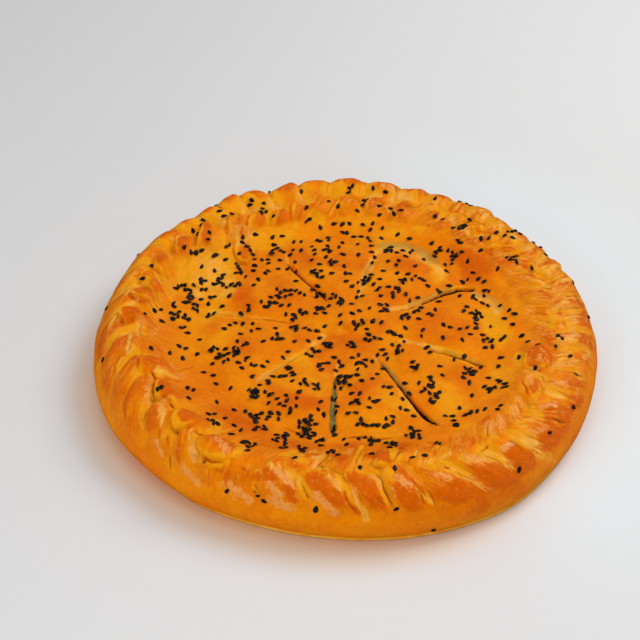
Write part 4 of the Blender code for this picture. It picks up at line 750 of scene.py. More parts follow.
def lay_strokes(u, v, wu, wv, strokes, unit=1.0, round_turn=0.0):
    """Sums up strokes on a grid with coordinates u, v (in mm after u
    is multiplied by unit), roughened by the offsets wu, wv."""
    out = {name: np.zeros_like(v) for name in STROKE_FIELDS}
    for kind, width, much, *line in strokes:
        line = np.array(line, float)
        cu, cv = (line.min(axis=0) + line.max(axis=0)) / 2
        du = u - cu
        if round_turn:
            du = (du + round_turn / 2) % round_turn - round_turn / 2
        reach = 2.6 * width + 1.5
        half_u, half_v = (line.max(axis=0) - line.min(axis=0)) / 2
        near = (np.abs(du) * unit < half_u * unit + reach) & (np.abs(v - cv) < half_v + reach)
        if not near.any():
            continue
        centred = (line - (cu, cv)) * (unit, 1.0)
        side, d, share, _ = follow(du[near] * unit + wu[near], v[near] - cv + wv[near], centred)
        taper = smooth(-0.05, 0.22, share) * smooth(1.05, 0.78, share)
        blob = smooth(1.9 * width, 0.25 * width, d) * much
        if kind == "C":
            fine = max(width, 0.55)
            out["high"][near] -= (0.30 + 0.65 * much) * width / 0.6 * 0.8 * np.exp(-((d / fine) ** 2)) * taper
            # painted shade along the bottom of the crease
            out["crease_shade"][near] = np.maximum(out["crease_shade"][near], (0.28 + 0.62 * much) * taper * np.exp(-((d / (0.85 * fine)) ** 2)))
            out["pale"][near] += 0.45 * much * taper * np.exp(-(((d - 1.6) / 0.9) ** 2))
        elif kind == "E":
            # v grows downwards on the rim, so the side flips there
            s = -side if round_turn else side
            taper = smooth(-0.02, 0.15, share) * smooth(1.02, 0.85, share)
            out["high"][near] += taper * much * (1.75 * np.exp(-d / width) * smooth(-0.5, 0.7, s)
                                                 - 0.45 * np.exp(-(((s + 0.5) / 0.7) ** 2)))
            # painted shade along the foot of the free edge
            out["crease_shade"][near] = np.maximum(out["crease_shade"][near], 0.52 * much * taper * np.exp(-(((s + 0.35) / 0.5) ** 2)))
            out["pale"][near] += 0.6 * much * taper * np.exp(-(((s - 1.2) / 1.0) ** 2))
            # at the back, painted shadow: browner just outside the free edge
            if round_turn and 62 < cu < 186:
                out["brown"][near] += 0.55 * much * taper * np.exp(-(((s + 0.9) / 1.0) ** 2))
                out["high"][near] -= 0.5 * much * taper * np.exp(-(((s + 1.0) / 1.0) ** 2))
        elif kind == "R":
            out["high"][near] += 0.55 * much * np.exp(-((d / width) ** 2)) * taper
            out["pale"][near] += 0.7 * much * np.exp(-((d / (1.1 * width)) ** 2)) * taper
        elif kind == "B":
            out["brown"][near] += blob
            out["high"][near] += 0.10 * blob * min(width, 3.0)
        elif kind == "D":
            out["high"][near] += 2.3 * much * np.exp(-((d / width) ** 2))
            out["brown"][near] += 0.60 * much * np.exp(-((d / (0.9 * width)) ** 2))
            out["pale"][near] -= 0.3 * much * np.exp(-((d / (0.75 * width)) ** 2))
        elif kind == "V":
            # painted shade: browner along the valley line
            out["high"][near] -= 0.8 * much * np.exp(-((d / width) ** 2)) * taper
            out["brown"][near] += 1.1 * much * np.exp(-((d / width) ** 2)) * taper
        elif kind == "P":
            out["pale"][near] += blob
        elif kind == "K":
            out["cream"][near] = np.maximum(out["cream"][near], blob)
            out["pale"][near] += 0.3 * blob
        elif kind == "F":
            # glossy wrinkled skin; this mark also paints a peach sheen
            out["gloss_and_painted_sheen"][near] = np.maximum(out["gloss_and_painted_sheen"][near], blob)
        elif kind == "O":
            out["olive"][near] = np.maximum(out["olive"][near], blob)
    return out


FAR_STROKES = far_strokes()


def build_crust_mesh():
    rows = mesh_rows()
    full = [i for i, (_, n) in enumerate(rows) if n == COLUMNS]
    runs = np.array([run for run, _ in rows])
    points, marks = [], []

    names = ("brown", "pale", "cream", "crease_shade", "gap", "gloss_and_painted_sheen", "herb", "olive", "rim", "lip", "flaky")

    def finish_block(g):
        """Moves the folded points and works out their colour marks."""
        rim = g["strokes"]
        puff = g["puff"] + rim["high"]
        x = g["base"][..., 0] + g["nr"] * np.cos(g["angle"]) * puff
        y = g["base"][..., 1] + g["nr"] * np.sin(g["angle"]) * puff
        z = g["base"][..., 2] - 0.45 * np.maximum(g["base"][..., 2] - 31.0, 0) + g["nz"] * puff
        # the crest sinks between the high pads of the back
        back = smooth(55, 75, g["degrees"] % 360.0) * (1 - smooth(176, 192, g["degrees"] % 360.0))
        z = z - 3.0 * back * smooth(-24, -13, g["away"]) * (1 - smooth(1, 8, g["away"]))
        # the rim is a little lower at the right of the back
        z = z - 1.2 * smooth(4, 22, g["degrees"] % 360.0) * (1 - smooth(74, 90, g["degrees"] % 360.0)) * smooth(-20, -6, g["away"]) * (1 - smooth(16, 30, g["away"]))
        relief, gap, herb, on_lid = lid_relief(x, y)
        flat = np.stack([x, y, np.zeros_like(x)], -1)
        wx = 0.45 * noise(flat + 3.0, 5.0) + 0.2 * noise(flat + 13.0, 2.2)
        wy = 0.45 * noise(flat + 23.0, 5.0) + 0.2 * noise(flat + 33.0, 2.2)
        lid = lay_strokes(x, y, wx, wy, LID_STROKES)
        z = z + relief + lid["high"]
        over = np.maximum(z - 33.9, 0)
        z = np.minimum(z, 33.9) + over / (1 + 0.70 * over)
        p = np.stack([x, y, z], -1)
        # everything sways a little along the crust, so that no crease is straight
        sway = np.stack([noise(p, 13.0), noise(p + 90.0, 13.0), np.zeros_like(x)], -1)
        sway_fine = np.stack([noise(p + 20.0, 5.0), noise(p + 60.0, 5.0), np.zeros_like(x)], -1)
        here = (smooth(60, 85, np.hypot(x, y)) * (1 - smooth(8, 24, g["away"])))[..., None]
        p = p + here * (0.6 * sway + 0.3 * sway_fine)
        n1 = noise(g["base"], 14.0)
        n2 = noise(g["base"] + 50.0, 5.0)
        m = {
            "gap": gap, "herb": herb, "olive": lid["olive"],
            "brown": 0.28 * n1 + 0.75 * rim["brown"] + 0.8 * lid["brown"] + 0.17 * on_lid,
            "pale": 0.18 * n2 - 0.12 * n1 + 0.9 * (rim["pale"] + lid["pale"]) - 0.35 * (rim["brown"] + lid["brown"]),
            "cream": np.maximum(rim["cream"], lid["cream"]) * (0.85 + 0.45 * n2),
            "crease_shade": np.maximum(rim["crease_shade"], lid["crease_shade"]) * (0.85 + 0.3 * n2),
            "gloss_and_painted_sheen": np.maximum(rim["gloss_and_painted_sheen"], lid["gloss_and_painted_sheen"]),
            "rim": smooth(-24, -12, g["away"]) * (1 - 0.7 * smooth(20, 28, g["away"])),
            "lip": np.zeros_like(x), "flaky": np.zeros_like(x),
        }
        return p, m, n1, n2

    # full-width block first, because its marks need neighbours
    run = np.repeat(runs[full][:, None], COLUMNS, 1)
    column = np.repeat(np.arange(COLUMNS, dtype=float)[None], len(full), 0)
    g = crust_grid(run, column)
    tight = blurred(g["puff"], 1, 0) * 0.5 + g["puff"] * 0.5
    wide = blurred(g["puff"], 5, 4)
    g["puff"] = tight
    p, m, n1, n2 = finish_block(g)
    away, deg = g["away"], g["degrees"] % 360.0

    hollow = np.clip((wide - g["puff"]) / 0.8, 0, 1)
    proud = np.clip((g["puff"] - wide) / 0.7, -0.2, 1)
    thin = np.clip((blurred(g["puff"], 2, 2) - g["puff"]) / 0.16, 0, 1)

    outer = (~g["inner_wins"]) & (g["oh"] > 0.15)
    on_outer = outer * smooth(-6, 0, away) * (1 - smooth(17, 25, away))
    flank = smooth(0.62, 0.85, g["oacross"]) * on_outer
    core = smooth(0.25, 0.55, g["oin"]) * on_outer
    inner_core = smooth(0.30, 0.6, g["iin"]) * g["inner_wins"] * smooth(-18, -8, away)
    far = smooth(8, 12, away) * smooth(15, 25, deg) * (1 - smooth(160, 172, deg))

    bake = ring_interp(deg, BAKE)
    on_rim = smooth(-26, -8, away)
    in_folds = smooth(-22, -16, away) * (1 - smooth(18, 24, away))
    # near the front right the pads are brown only below the crimp
    front_right = smooth(283, 296, deg) * (1 - smooth(332, 346, deg))
    above = front_right * smooth(-11, -7, away) * (1 - smooth(3, 8, away))
    bake = bake * (1 - front_right * (1 - smooth(2, 8, away)))
    m["brown"] -= 0.28 * above
    m["pale"] += 0.24 * above
    m["cream"] *= 1 - 0.30 * front_right
    m["brown"] += (0.30 * core + 0.32 * inner_core + 0.30 * proud * in_folds + bake * on_rim
                   + 0.12 * g["pleats"] - 0.20 * smooth(19, 27, away) * (bake < 0.2))
    m["pale"] += (0.40 * hollow * in_folds + 0.35 * flank * (1 - smooth(6, 16, away)) - 0.25 * g["pleats"] - 0.3 * bake * on_rim
                  + ring_interp(deg, YELLOW) * (1 - 0.7 * smooth(12, 22, away))
                  * np.where((deg > 62) & (deg < 175), smooth(-34, -18, away), smooth(-13, -5, away)))
    m["brown"] += 0.50 * smooth(-27, -22, away) * (1 - smooth(-12, -7, away)) * smooth(224, 238, deg) * (1 - smooth(284, 298, deg))
    m["brown"] += 0.18 * smooth(12, 18, away) * (1 - smooth(30, 36, away)) * smooth(286, 300, deg) * (1 - smooth(328, 345, deg))
    m["brown"] += 0.20 * smooth(10, 16, away) * (1 - smooth(24, 30, away)) * smooth(166, 178, deg) * (1 - smooth(196, 208, deg))
    # the folds of the right and of the back differ more in colour
    vivid = np.maximum(1 - smooth(60, 75, deg), smooth(346, 356, deg)) + 0.6 * smooth(95, 120, deg) * (1 - smooth(190, 205, deg))
    m["brown"] += vivid * (0.45 * core + 0.25 * inner_core + 0.30 * np.clip(proud, 0, 1) * in_folds - 0.15 * in_folds)
    m["pale"] += vivid * (0.40 * flank + 0.35 * hollow * in_folds)
    m["crease_shade"] *= 1 - 0.45 * vivid * in_folds
    m["cream"] = np.maximum(m["cream"], 0.5 * far * flank * (1 - smooth(8, 14, away)))
    # painted shade in the narrow hollows of the folds
    m["crease_shade"] = np.maximum(m["crease_shade"], thin * (0.26 + 0.30 * n2) * in_folds)
    # glossy skin, which also gets a painted peach sheen, on the far folds and all round the rim
    far_gloss_and_sheen_zone = smooth(9, 11, away) * (1 - smooth(16, 20, away)) * smooth(0.25, 0.45, g["oacross"]) * (1 - smooth(0.8, 1.0, g["oacross"]))
    m["gloss_and_painted_sheen"] = np.maximum(np.maximum(m["gloss_and_painted_sheen"], 0.5 * far_gloss_and_sheen_zone * outer * far), ring_interp(deg, GLOSS_AND_SHEEN_SHARE) * on_rim * np.clip(0.9 + 1.4 * n2, 0, 1) * (1 - 0.6 * smooth(14, 24, away)))
    m["flaky"] = ring_interp(deg, FLAKY) * smooth(-20, -9, away) * (1 - smooth(9, 20, away)) * np.clip(0.8 + 1.2 * n1, 0.25, 1.2)
    # the skin of the back and left is smoother
    m["rim"] *= 1 - 0.55 * smooth(55, 75, deg) * (1 - smooth(200, 225, deg))
    # a thin pale lip where the wall meets the sole
    height = p[..., 2]
    lip_here = smooth(226, 246, deg) * (1 - smooth(322, 340, deg))
    lip_wave = 1.0 + 0.5 * noise(np.stack([deg * 2.0, np.zeros_like(deg), np.zeros_like(deg)], -1), 9.0)
    m["lip"] = lip_here * smooth(lip_wave + 0.9, lip_wave - 0.1, height) * np.clip(0.8 + 0.5 * n2, 0, 1)
    # painted light: the lower front wall is made paler and less brown towards the foot, where the floor lights it
    m["pale"] += 0.45 * lip_here * smooth(13, 3, height)
    m["brown"] -= 0.35 * lip_here * smooth(13, 3, height)
    out = np.stack([np.cos(g["angle"]), np.sin(g["angle"]), np.zeros_like(deg)], -1)
    p += out * (0.8 * lip_here * smooth(1.7, 1.0, height))[..., None]
    blocks = {"p": p, "m": m, "g": g}

    # coarse rows of the middle of the lid, one at a time
    verts = [np.zeros((1, 3))]
    counts = [1]
    all_marks = {n: [np.zeros(1)] for n in names}
    flow = [np.zeros((1, 3))]
    uv_run = [np.zeros(1)]
    uv_ang = [np.zeros(1)]
    for i, (run_i, n) in enumerate(rows):
        if n == COLUMNS:
            j = i - full[0]
            verts.append(p[j])
            for name in names:
                all_marks[name].append(m[name][j])
            ang = np.radians(g["seam"][j])
            aw = away[j]
            uv_run.append(run[j])
            uv_ang.append(g["angle"][j])
        else:
            col = np.arange(n, dtype=float)[None] * (COLUMNS // n)
            gg = crust_grid(np.full((1, n), run_i), col)
            pp, mm, _, _ = finish_block(gg)
            verts.append(pp[0])
            for name in names:
                all_marks[name].append(mm[name][0])
            ang = np.radians(gg["seam"][0])
            aw = gg["away"][0]
            uv_run.append(gg["run"][0])
            uv_ang.append(gg["angle"][0])
        counts.append(n)
        flow.append(np.stack([105 * np.cos(ang), 105 * np.sin(ang), aw], -1))

    # top middle follows its first ring
    verts[0][0] = verts[1].mean(axis=0)
    # the foot is flat
    verts[-1][:, 2] = 0.0
    # underside rows, from the foot inwards
    foot = verts[-1]
    sole = []
    for share, n in ((0.985, COLUMNS), (0.955, COLUMNS // 2), (0.90, COLUMNS // 4), (0.80, COLUMNS // 8),
                     (0.62, COLUMNS // 8), (0.44, COLUMNS // 8), (0.26, COLUMNS // 8), (0.1, COLUMNS // 8)):
        ring = foot[:: COLUMNS // n] * share
        sole.append(ring)
    stack = verts + sole + [np.zeros((1, 3))]
    counts = [len(v) for v in stack]
    points = np.concatenate(stack)
    extra = len(points) - sum(len(v) for v in verts)
    marks = {name: np.concatenate(v + [np.zeros(extra)]) for name, v in all_marks.items()}
    sole_mark = np.zeros(len(points))
    sole_mark[len(points) - extra:] = 1.0
    marks["sole"] = sole_mark
    flow = np.concatenate(flow + [points[len(points) - extra:] * 0.9])

    # faces, row by row; tops wind anticlockwise seen from outside
    starts = np.concatenate([[0], np.cumsum(counts)])
    quads, tris = [], []
    for i in range(len(counts) - 1):
        a, b = counts[i], counts[i + 1]
        sa, sb = starts[i], starts[i + 1]
        if a == b:
            j = np.arange(a)
            k = (j + 1) % a
            quads.append(np.stack([sa + j, sb + j, sb + k, sa + k], 1))
        elif a == 1:
            j = np.arange(b)
            tris.append(np.stack([np.full(b, sa), sb + j, sb + (j + 1) % b], 1))
        elif b == 1:
            j = np.arange(a)
            tris.append(np.stack([sa + j, np.full(a, sb), sa + (j + 1) % a], 1))
        elif b == 2 * a:
            j = np.arange(a)
            k = (j + 1) % a
            o0, o1, o2 = sb + 2 * j, sb + 2 * j + 1, sb + (2 * j + 2) % b
            tris.append(np.stack([sa + j, o0, o1], 1))
            tris.append(np.stack([sa + j, o1, sa + k], 1))
            tris.append(np.stack([sa + k, o1, o2], 1))
        else:
            j = np.arange(b)
            k = (j + 1) % b
            i0, i1, i2 = sa + 2 * j, sa + 2 * j + 1, sa + (2 * j + 2) % a
            tris.append(np.stack([i0, sb + j, i1], 1))
            tris.append(np.stack([i1, sb + j, sb + k], 1))
            tris.append(np.stack([i1, sb + k, i2], 1))
    quads, tris = np.concatenate(quads), np.concatenate(tris)

    # one flat picture of the top and wall, and a small one of the underside
    uv = np.zeros((len(points), 2))
    n_top = len(points) - extra
    rr = np.concatenate(uv_run) / RUN_LENGTH
    aa = np.concatenate(uv_ang)
    uv[:n_top, 0] = 0.45 + 0.449 * rr * np.cos(aa)
    uv[:n_top, 1] = 0.45 + 0.449 * rr * np.sin(aa)
    radius = 118.0
    uv[n_top:] = 0.868 + 0.122 * points[n_top:, :2] / radius
    foot_ids = np.arange(starts[len(verts) - 1], starts[len(verts)])
    foot_uv = 0.868 + 0.122 * points[foot_ids][:, :2] / radius
    return points, quads, tris, marks, flow, uv, foot_ids, foot_uv, n_top


def mesh_object(name, points, quads, tris):
    mesh = bpy.data.meshes.new(name)
    loops = np.concatenate([quads.ravel(), tris.ravel()]) if len(tris) else quads.ravel()
    sizes = np.concatenate([np.full(len(quads), 4), np.full(len(tris), 3)]).astype(np.int32)
    mesh.vertices.add(len(points))
    mesh.vertices.foreach_set("co", (points * MM).astype(np.float32).ravel())
    mesh.loops.add(len(loops))
    mesh.loops.foreach_set("vertex_index", loops.astype(np.int32))
    mesh.polygons.add(len(sizes))
    mesh.polygons.foreach_set("loop_start", np.concatenate([[0], np.cumsum(sizes)[:-1]]).astype(np.int32))
    mesh.update(calc_edges=True)
    mesh.validate()
    mesh.shade_smooth()
    obj = bpy.data.objects.new(name, mesh)
    bpy.context.scene.collection.objects.link(obj)
    return obj, loops


points, quads, tris, marks, flow, uv, foot_ids, foot_uv, n_top = build_crust_mesh()
MIDDLE = (points[:, :2].min(axis=0) + points[:, :2].max(axis=0)) / 2
points[:, :2] -= MIDDLE
crust, loops = mesh_object("crust", points, quads, tris)
for name, values in marks.items():
    layer = crust.data.attributes.new(name, "FLOAT", "POINT")
    layer.data.foreach_set("value", np.clip(values, -1, 1).astype(np.float32))
layer = crust.data.attributes.new("flow", "FLOAT_VECTOR", "POINT")
layer.data.foreach_set("vector", (flow * MM).astype(np.float32).ravel())
loop_uv = uv[loops]
on_sole = np.zeros(len(points), bool)
on_sole[n_top:] = True
# a face that touches the underside uses the underside's picture for its foot too
face_of_loop = np.concatenate([np.repeat(np.arange(len(quads)), 4), len(quads) + np.repeat(np.arange(len(tris)), 3)])
sole_face = np.zeros(len(quads) + len(tris), bool)
np.logical_or.at(sole_face, face_of_loop, on_sole[loops])
foot_lookup = np.full(len(points), -1)
foot_lookup[foot_ids] = np.arange(len(foot_ids))
swap = sole_face[face_of_loop] & (foot_lookup[loops] >= 0)
loop_uv[swap] = foot_uv[foot_lookup[loops[swap]]]
crust.data.uv_layers.new(name="OFBake")
crust.data.uv_layers["OFBake"].data.foreach_set("uv", loop_uv.astype(np.float32).ravel())


# ------------------------------------------------------------------- the seeds
SEED_LONG, SEED_WIDE, SEED_THICK = 3.25, 2.25, 1.1


def seed_shape(around=10, rings=7):
    """One sesame seed: a flattened drop lying along x, resting on z = 0."""
    pts = [(-0.5, 0.0, 0.0)]
    for i in range(1, rings):
        t = i / rings
        x = -0.5 + t
        fat = math.sin(math.pi * t) ** 0.62 * (1.12 - 0.62 * t)
        for j in range(around):
            a = 2 * math.pi * j / around
            pts.append((x, 0.5 * fat * math.cos(a), 0.5 * fat * math.sin(a) * (1.0 + 0.1 * math.cos(a))))
    pts.append((0.5, 0.0, 0.0))
    faces3, faces4 = [], []
    for j in range(around):
        faces3.append((0, 1 + (j + 1) % around, 1 + j))
    for i in range(rings - 2):
        for j in range(around):
            a, b = 1 + i * around + j, 1 + i * around + (j + 1) % around
            faces4.append((a, b, b + around, a + around))
    last = 1 + (rings - 2) * around
    tip = len(pts) - 1
    for j in range(around):
        faces3.append((last + j, last + (j + 1) % around, tip))
    pts = np.array(pts) * np.array((SEED_LONG, SEED_WIDE, SEED_THICK))
    return pts, np.array(faces4), np.array(faces3), around, rings


# Heaps of seeds: place, how many, spread in mm.
HEAPS = (
    (-41.5, -46, 9, 2.2), (-17, -66, 12, 3.4), (9, 34, 9, 2.4), (-1, -39, 8, 2.4), (-12, 21.5, 7, 1.8), (46, 56, 6, 2.2),
    (52.5, 53, 6, 2.2), (57, 70, 7, 2.6), (82, 70, 6, 2.6), (81, 44, 7, 2.8), (-73, 15, 6, 2.8), (-82, 8, 5, 2.4),
    (-30, 22, 9, 3.2), (-53, 28, 4, 1.6), (-60, 31, 6, 2.6), (-24, -2, 5, 1.8), (-16, -17, 5, 1.8), (-9, -11.5, 5, 1.8),
    (2, -12.5, 5, 1.8), (6, 1.5, 5, 1.8), (-12.5, 10.5, 7, 2.6), (-22, 8.5, 4, 1.6), (61.5, 10, 6, 2.0), (67, -9, 7, 2.6),
    (58, -30, 6, 1.8), (39, -39, 7, 2.6), (40.5, -47, 6, 2.2), (33, -30, 4, 1.6), (24, -18, 4, 1.8), (-52, -19, 6, 2.4),
    (-58, -22, 8, 2.8), (-61, -17, 4, 1.8), (-40, -61, 8, 2.6), (-25, -57, 4, 1.8), (-29.5, -77, 5, 2), (13, -76, 5, 2),
    (21, -80, 6, 2.2), (30.5, -71.5, 7, 2.4), (-19, -39, 4, 1.6), (-13, -41, 4, 1.6), (4, -52, 4, 2), (14, -50.5, 3, 1.4),
    (28, 7, 5, 2), (18, 11.5, 3, 1.2), (28, 32, 5, 2), (-15, 37.5, 6, 2.4), (-7, 45, 4, 1.6), (-6, 20.5, 3, 1.2),
    (-2, 17, 4, 1.6), (-37, 55, 3, 1.2), (20.5, 57, 4, 1.6), (-9.5, 56, 3, 1.4), (46, 27, 3, 1.4), (60.5, 23, 3, 1.4),
    (66.5, -42, 5, 2.2), (-5.5, -66, 3, 1.0), (-5.5, -48, 2, 1.0), (-59, -70, 4, 2),
    # the left slope
    (-79, 28, 6, 3.0), (-76, 21, 5, 2.4), (-83, 15, 2, 1.4), (-77, 5, 3, 1.6), (-77, -2, 2, 1.2), (-65, 8, 3, 2.0),
    (-67, 33, 3, 2.4), (-64, 22, 2, 1.6), (-52.5, 39, 3, 1.2), (-46, 40, 1, 0.5), (-62, 36, 2, 1.0), (-65, 50, 2, 2.4),
    # the front left of the lid
    (-20, -72, 4, 2.2), (-14, -75, 5, 2.8), (-28, -74, 3, 1.4), (-27, -84, 4, 2.2), (-18.5, -85.5, 4, 1.8), (-6.5, -86, 3, 2.0),
    (-43, -83.5, 6, 1.8), (-50, -78, 1, 0.5), (-42, -88.5, 2, 1.8), (-37, -70, 3, 1.2), (-50.4, -70, 1, 0.5), (-34.5, -48, 4, 2.4),
    (-34.5, -59.5, 2, 1.6), (-29, -54, 2, 1.2), (0.7, -79, 1, 0.5), (-10, -77, 2, 1.2), (-15.8, -71, 4, 1.6),
)
CHAINS = (
    ((-36, 62), (-31, 55), 4), ((-51, 60), (-45, 50), 5), ((-79, 49), (-71, 52), 5), ((71, -36), (74, -44), 6),
    ((54, -60), (59, -59), 5), ((49, -60), (50, -69), 4), ((6, -65), (10, -66.5), 3), ((13, -66.5), (20, -65.5), 4),
    ((5, -24), (10, -26.5), 4), ((17, -15), (19, -21), 3), ((20, -3), (25, -6), 4), ((-20, -0.5), (-14, -2.5), 3),
    ((-34, -9), (-29, -9.5), 4), ((-24, 25), (-21, 21), 3), ((-39, 13), (-34, 15), 4), ((-12, -25), (-11, -30), 3),
    ((-27, -28), (-24, -34), 4), ((-4, -34), (3, -34), 5), ((-46, 28), (-43, 33), 2), ((61, 0), (62, 6), 3),
    ((-72, 32), (-77, 27), 3), ((56, 30), (59, 36), 2),
)


def surface_tree():
    tri_list = np.concatenate([quads[:, [0, 1, 2]], quads[:, [0, 2, 3]], tris])
    near_top = points[tri_list[:, 0], 2] > 3.0
    return BVHTree.FromPolygons([Vector(p) for p in points.tolist()], tri_list[near_top].tolist(), epsilon=0.0)


def scatter_seeds():
    dice = np.random.default_rng(11)
    tree = surface_tree()
    placed = []   # (location, normal, yaw, stacked)

    def drop(x, y, yaw=None, level=0):
        hit, normal, _, _ = tree.ray_cast(Vector((x - MIDDLE[0], y - MIDDLE[1], 80.0)), Vector((0, 0, -1)))
        if hit is None:
            return False
        if hit[2] > 32.0:
            level = 0
        placed.append((np.array(hit), np.array(normal), dice.uniform(0, 2 * math.pi) if yaw is None else yaw, level))
        return True

    def free(x, y, gap):
        for loc, _, _, _ in placed:
            if (loc[0] + MIDDLE[0] - x) ** 2 + (loc[1] + MIDDLE[1] - y) ** 2 < gap * gap:
                return False
        return True

    for hx, hy, count, spread in HEAPS:
        mine = []
        for _ in range(count):
            for _ in range(30):
                x, y = hx + dice.normal() * spread * 0.7, hy + dice.normal() * spread * 0.7
                near = sum(1 for mx, my in mine if math.hypot(mx - x, my - y) < 1.7)
                if near == 0 or (near == 1 and dice.random() < 0.25):
                    break
            mine.append((x, y))
            drop(x, y, None, near)
    for (x0, y0), (x1, y1), count in CHAINS:
        lie = math.atan2(y1 - y0, x1 - x0)
        for i in range(count):
            t = i / max(count - 1, 1)
            drop(x0 + (x1 - x0) * t + dice.normal() * 0.5, y0 + (y1 - y0) * t + dice.normal() * 0.5, lie + dice.normal() * 0.5)

    # density over the plan, in seeds per square mm
    wanted = 900
    tries = 0
    while len(placed) < wanted and tries < 60000:
        tries += 1
        x, y = dice.uniform(-118, 118), dice.uniform(-118, 118)
        r, a = math.hypot(x, y), math.degrees(math.atan2(y, x)) % 360
        if r > 117:
            continue
        if r < 58:
            density = 1.0
        elif r < 78:
            density = 0.85
        elif r < 92:
            density = 0.34
        elif r < 104:
            density = 0.17
        else:
            density = 0.05
        if r > 72 and 20 < a < 150:
            density *= 1.5
        if r > 72 and 200 < a < 330:
            density *= 0.6
        patch = noise(np.array([[x, y, 3.0]]), 13.0)[0]
        density *= 0.65 + 0.8 * max(patch, -0.5)
        if dice.random() > density:
            continue
        if not free(x, y, 2.9):
            continue
        drop(x, y)
        if dice.random() < 0.10:
            turn = dice.uniform(0, 2 * math.pi)
            drop(x + 2.1 * math.cos(turn), y + 2.1 * math.sin(turn))

    # a few stuck on the wall
    for degrees, z in ((244, 20), (251, 21.5), (252.6, 20), (264, 20.5), (281, 21), (289, 6), (172, 22), (152, 24),
                       (310, 22), (20, 21), (128, 22), (88, 20), (66, 22), (192, 24), (40, 14), (120, 16), (333, 24)):
        a = math.radians(degrees)
        out = Vector((math.cos(a), math.sin(a), 0.0))
        hit, normal, _, _ = tree.ray_cast(out * 160 + Vector((0, 0, z)), -out)
        if hit is not None:
            placed.append((np.array(hit), np.array(normal), dice.uniform(0, 2 * math.pi), 0))
    return placed, dice


def build_seeds():
    placed, dice = scatter_seeds()
    shape, faces4, faces3, around, rings = seed_shape()
    everything, f4, f3, uvs4, uvs3 = [], [], [], [], []
    cells = int(math.ceil(math.sqrt(len(placed))))
    # picture coordinates of one seed inside its cell
    su = (shape[:, 0] / SEED_LONG + 0.5) * 0.9 + 0.05

    def loop_v(face, ring_vertex):
        js = [None if v in (0, len(shape) - 1) else (v - 1) % around for v in face]
        known = [j for j in js if j is not None]
        wrap = max(known) - min(known) > around / 2
        out = []
        for j in js:
            if j is None:
                out.append(None)
            else:
                out.append(j + (around if wrap and j < around / 2 else 0))
        fill = sum(o for o in out if o is not None) / len(known)
        return [(fill if o is None else o) / around * 0.9 + 0.05 for o in out]

    v4 = np.array([loop_v(f, around) for f in faces4.tolist()])
    v3 = np.array([loop_v(f, around) for f in faces3.tolist()])
    u4, u3 = su[faces4], su[faces3]
    tone = []
    for n, (loc, normal, yaw, level) in enumerate(placed):
        normal = Vector(normal).normalized()
        if normal.z < 0 and loc[2] > 20:
            normal = -normal
        size = 1.0 + 0.09 * dice.normal()
        wide = 1.0 + 0.10 * dice.normal()
        local = shape * np.array((size, size * wide, 1.0))
        # a slight curl along the seed, and flat faces of unequal swelling
        local = local + np.stack([np.zeros(len(local)), 0.10 * (local[:, 0] / SEED_LONG) ** 2 * 2, np.zeros(len(local))], -1)
        tilt = dice.normal() * 0.10 + 0.35 * level * (1 if dice.random() < 0.5 else -1)
        roll = dice.normal() * 0.16
        turn = (
            normal.to_track_quat("Z", "Y").to_matrix()
            @ Matrix.Rotation(yaw, 3, "Z")
            @ Matrix.Rotation(tilt, 3, "Y")
            @ Matrix.Rotation(roll, 3, "X")
        )
        lift = SEED_THICK * (0.22 + 0.8 * level) + 0.1 * abs(dice.normal())
        pts = local @ np.array(turn).T + loc + np.array(normal) * lift
        base = len(shape) * n
        everything.append(pts)
        f4.append(faces4 + base)
        f3.append(faces3 + base)
        cu, cv = (n % cells) / cells, (n // cells) / cells
        uvs4.append(np.stack([cu + u4 / cells, cv + v4 / cells], -1))
        uvs3.append(np.stack([cu + u3 / cells, cv + v3 / cells], -1))
        tone.append(np.full(len(shape), dice.random()))
    obj, _ = mesh_object("sesame_seeds", np.concatenate(everything), np.concatenate(f4), np.concatenate(f3))
    both = np.concatenate([np.concatenate(uvs4).reshape(-1, 2), np.concatenate(uvs3).reshape(-1, 2)])
    obj.data.uv_layers.new(name="OFBake")
    obj.data.uv_layers["OFBake"].data.foreach_set("uv", both.astype(np.float32).ravel())
    layer = obj.data.attributes.new("tone", "FLOAT", "POINT")
    layer.data.foreach_set("value", np.concatenate(tone).astype(np.float32))
    return obj


seeds = build_seeds()


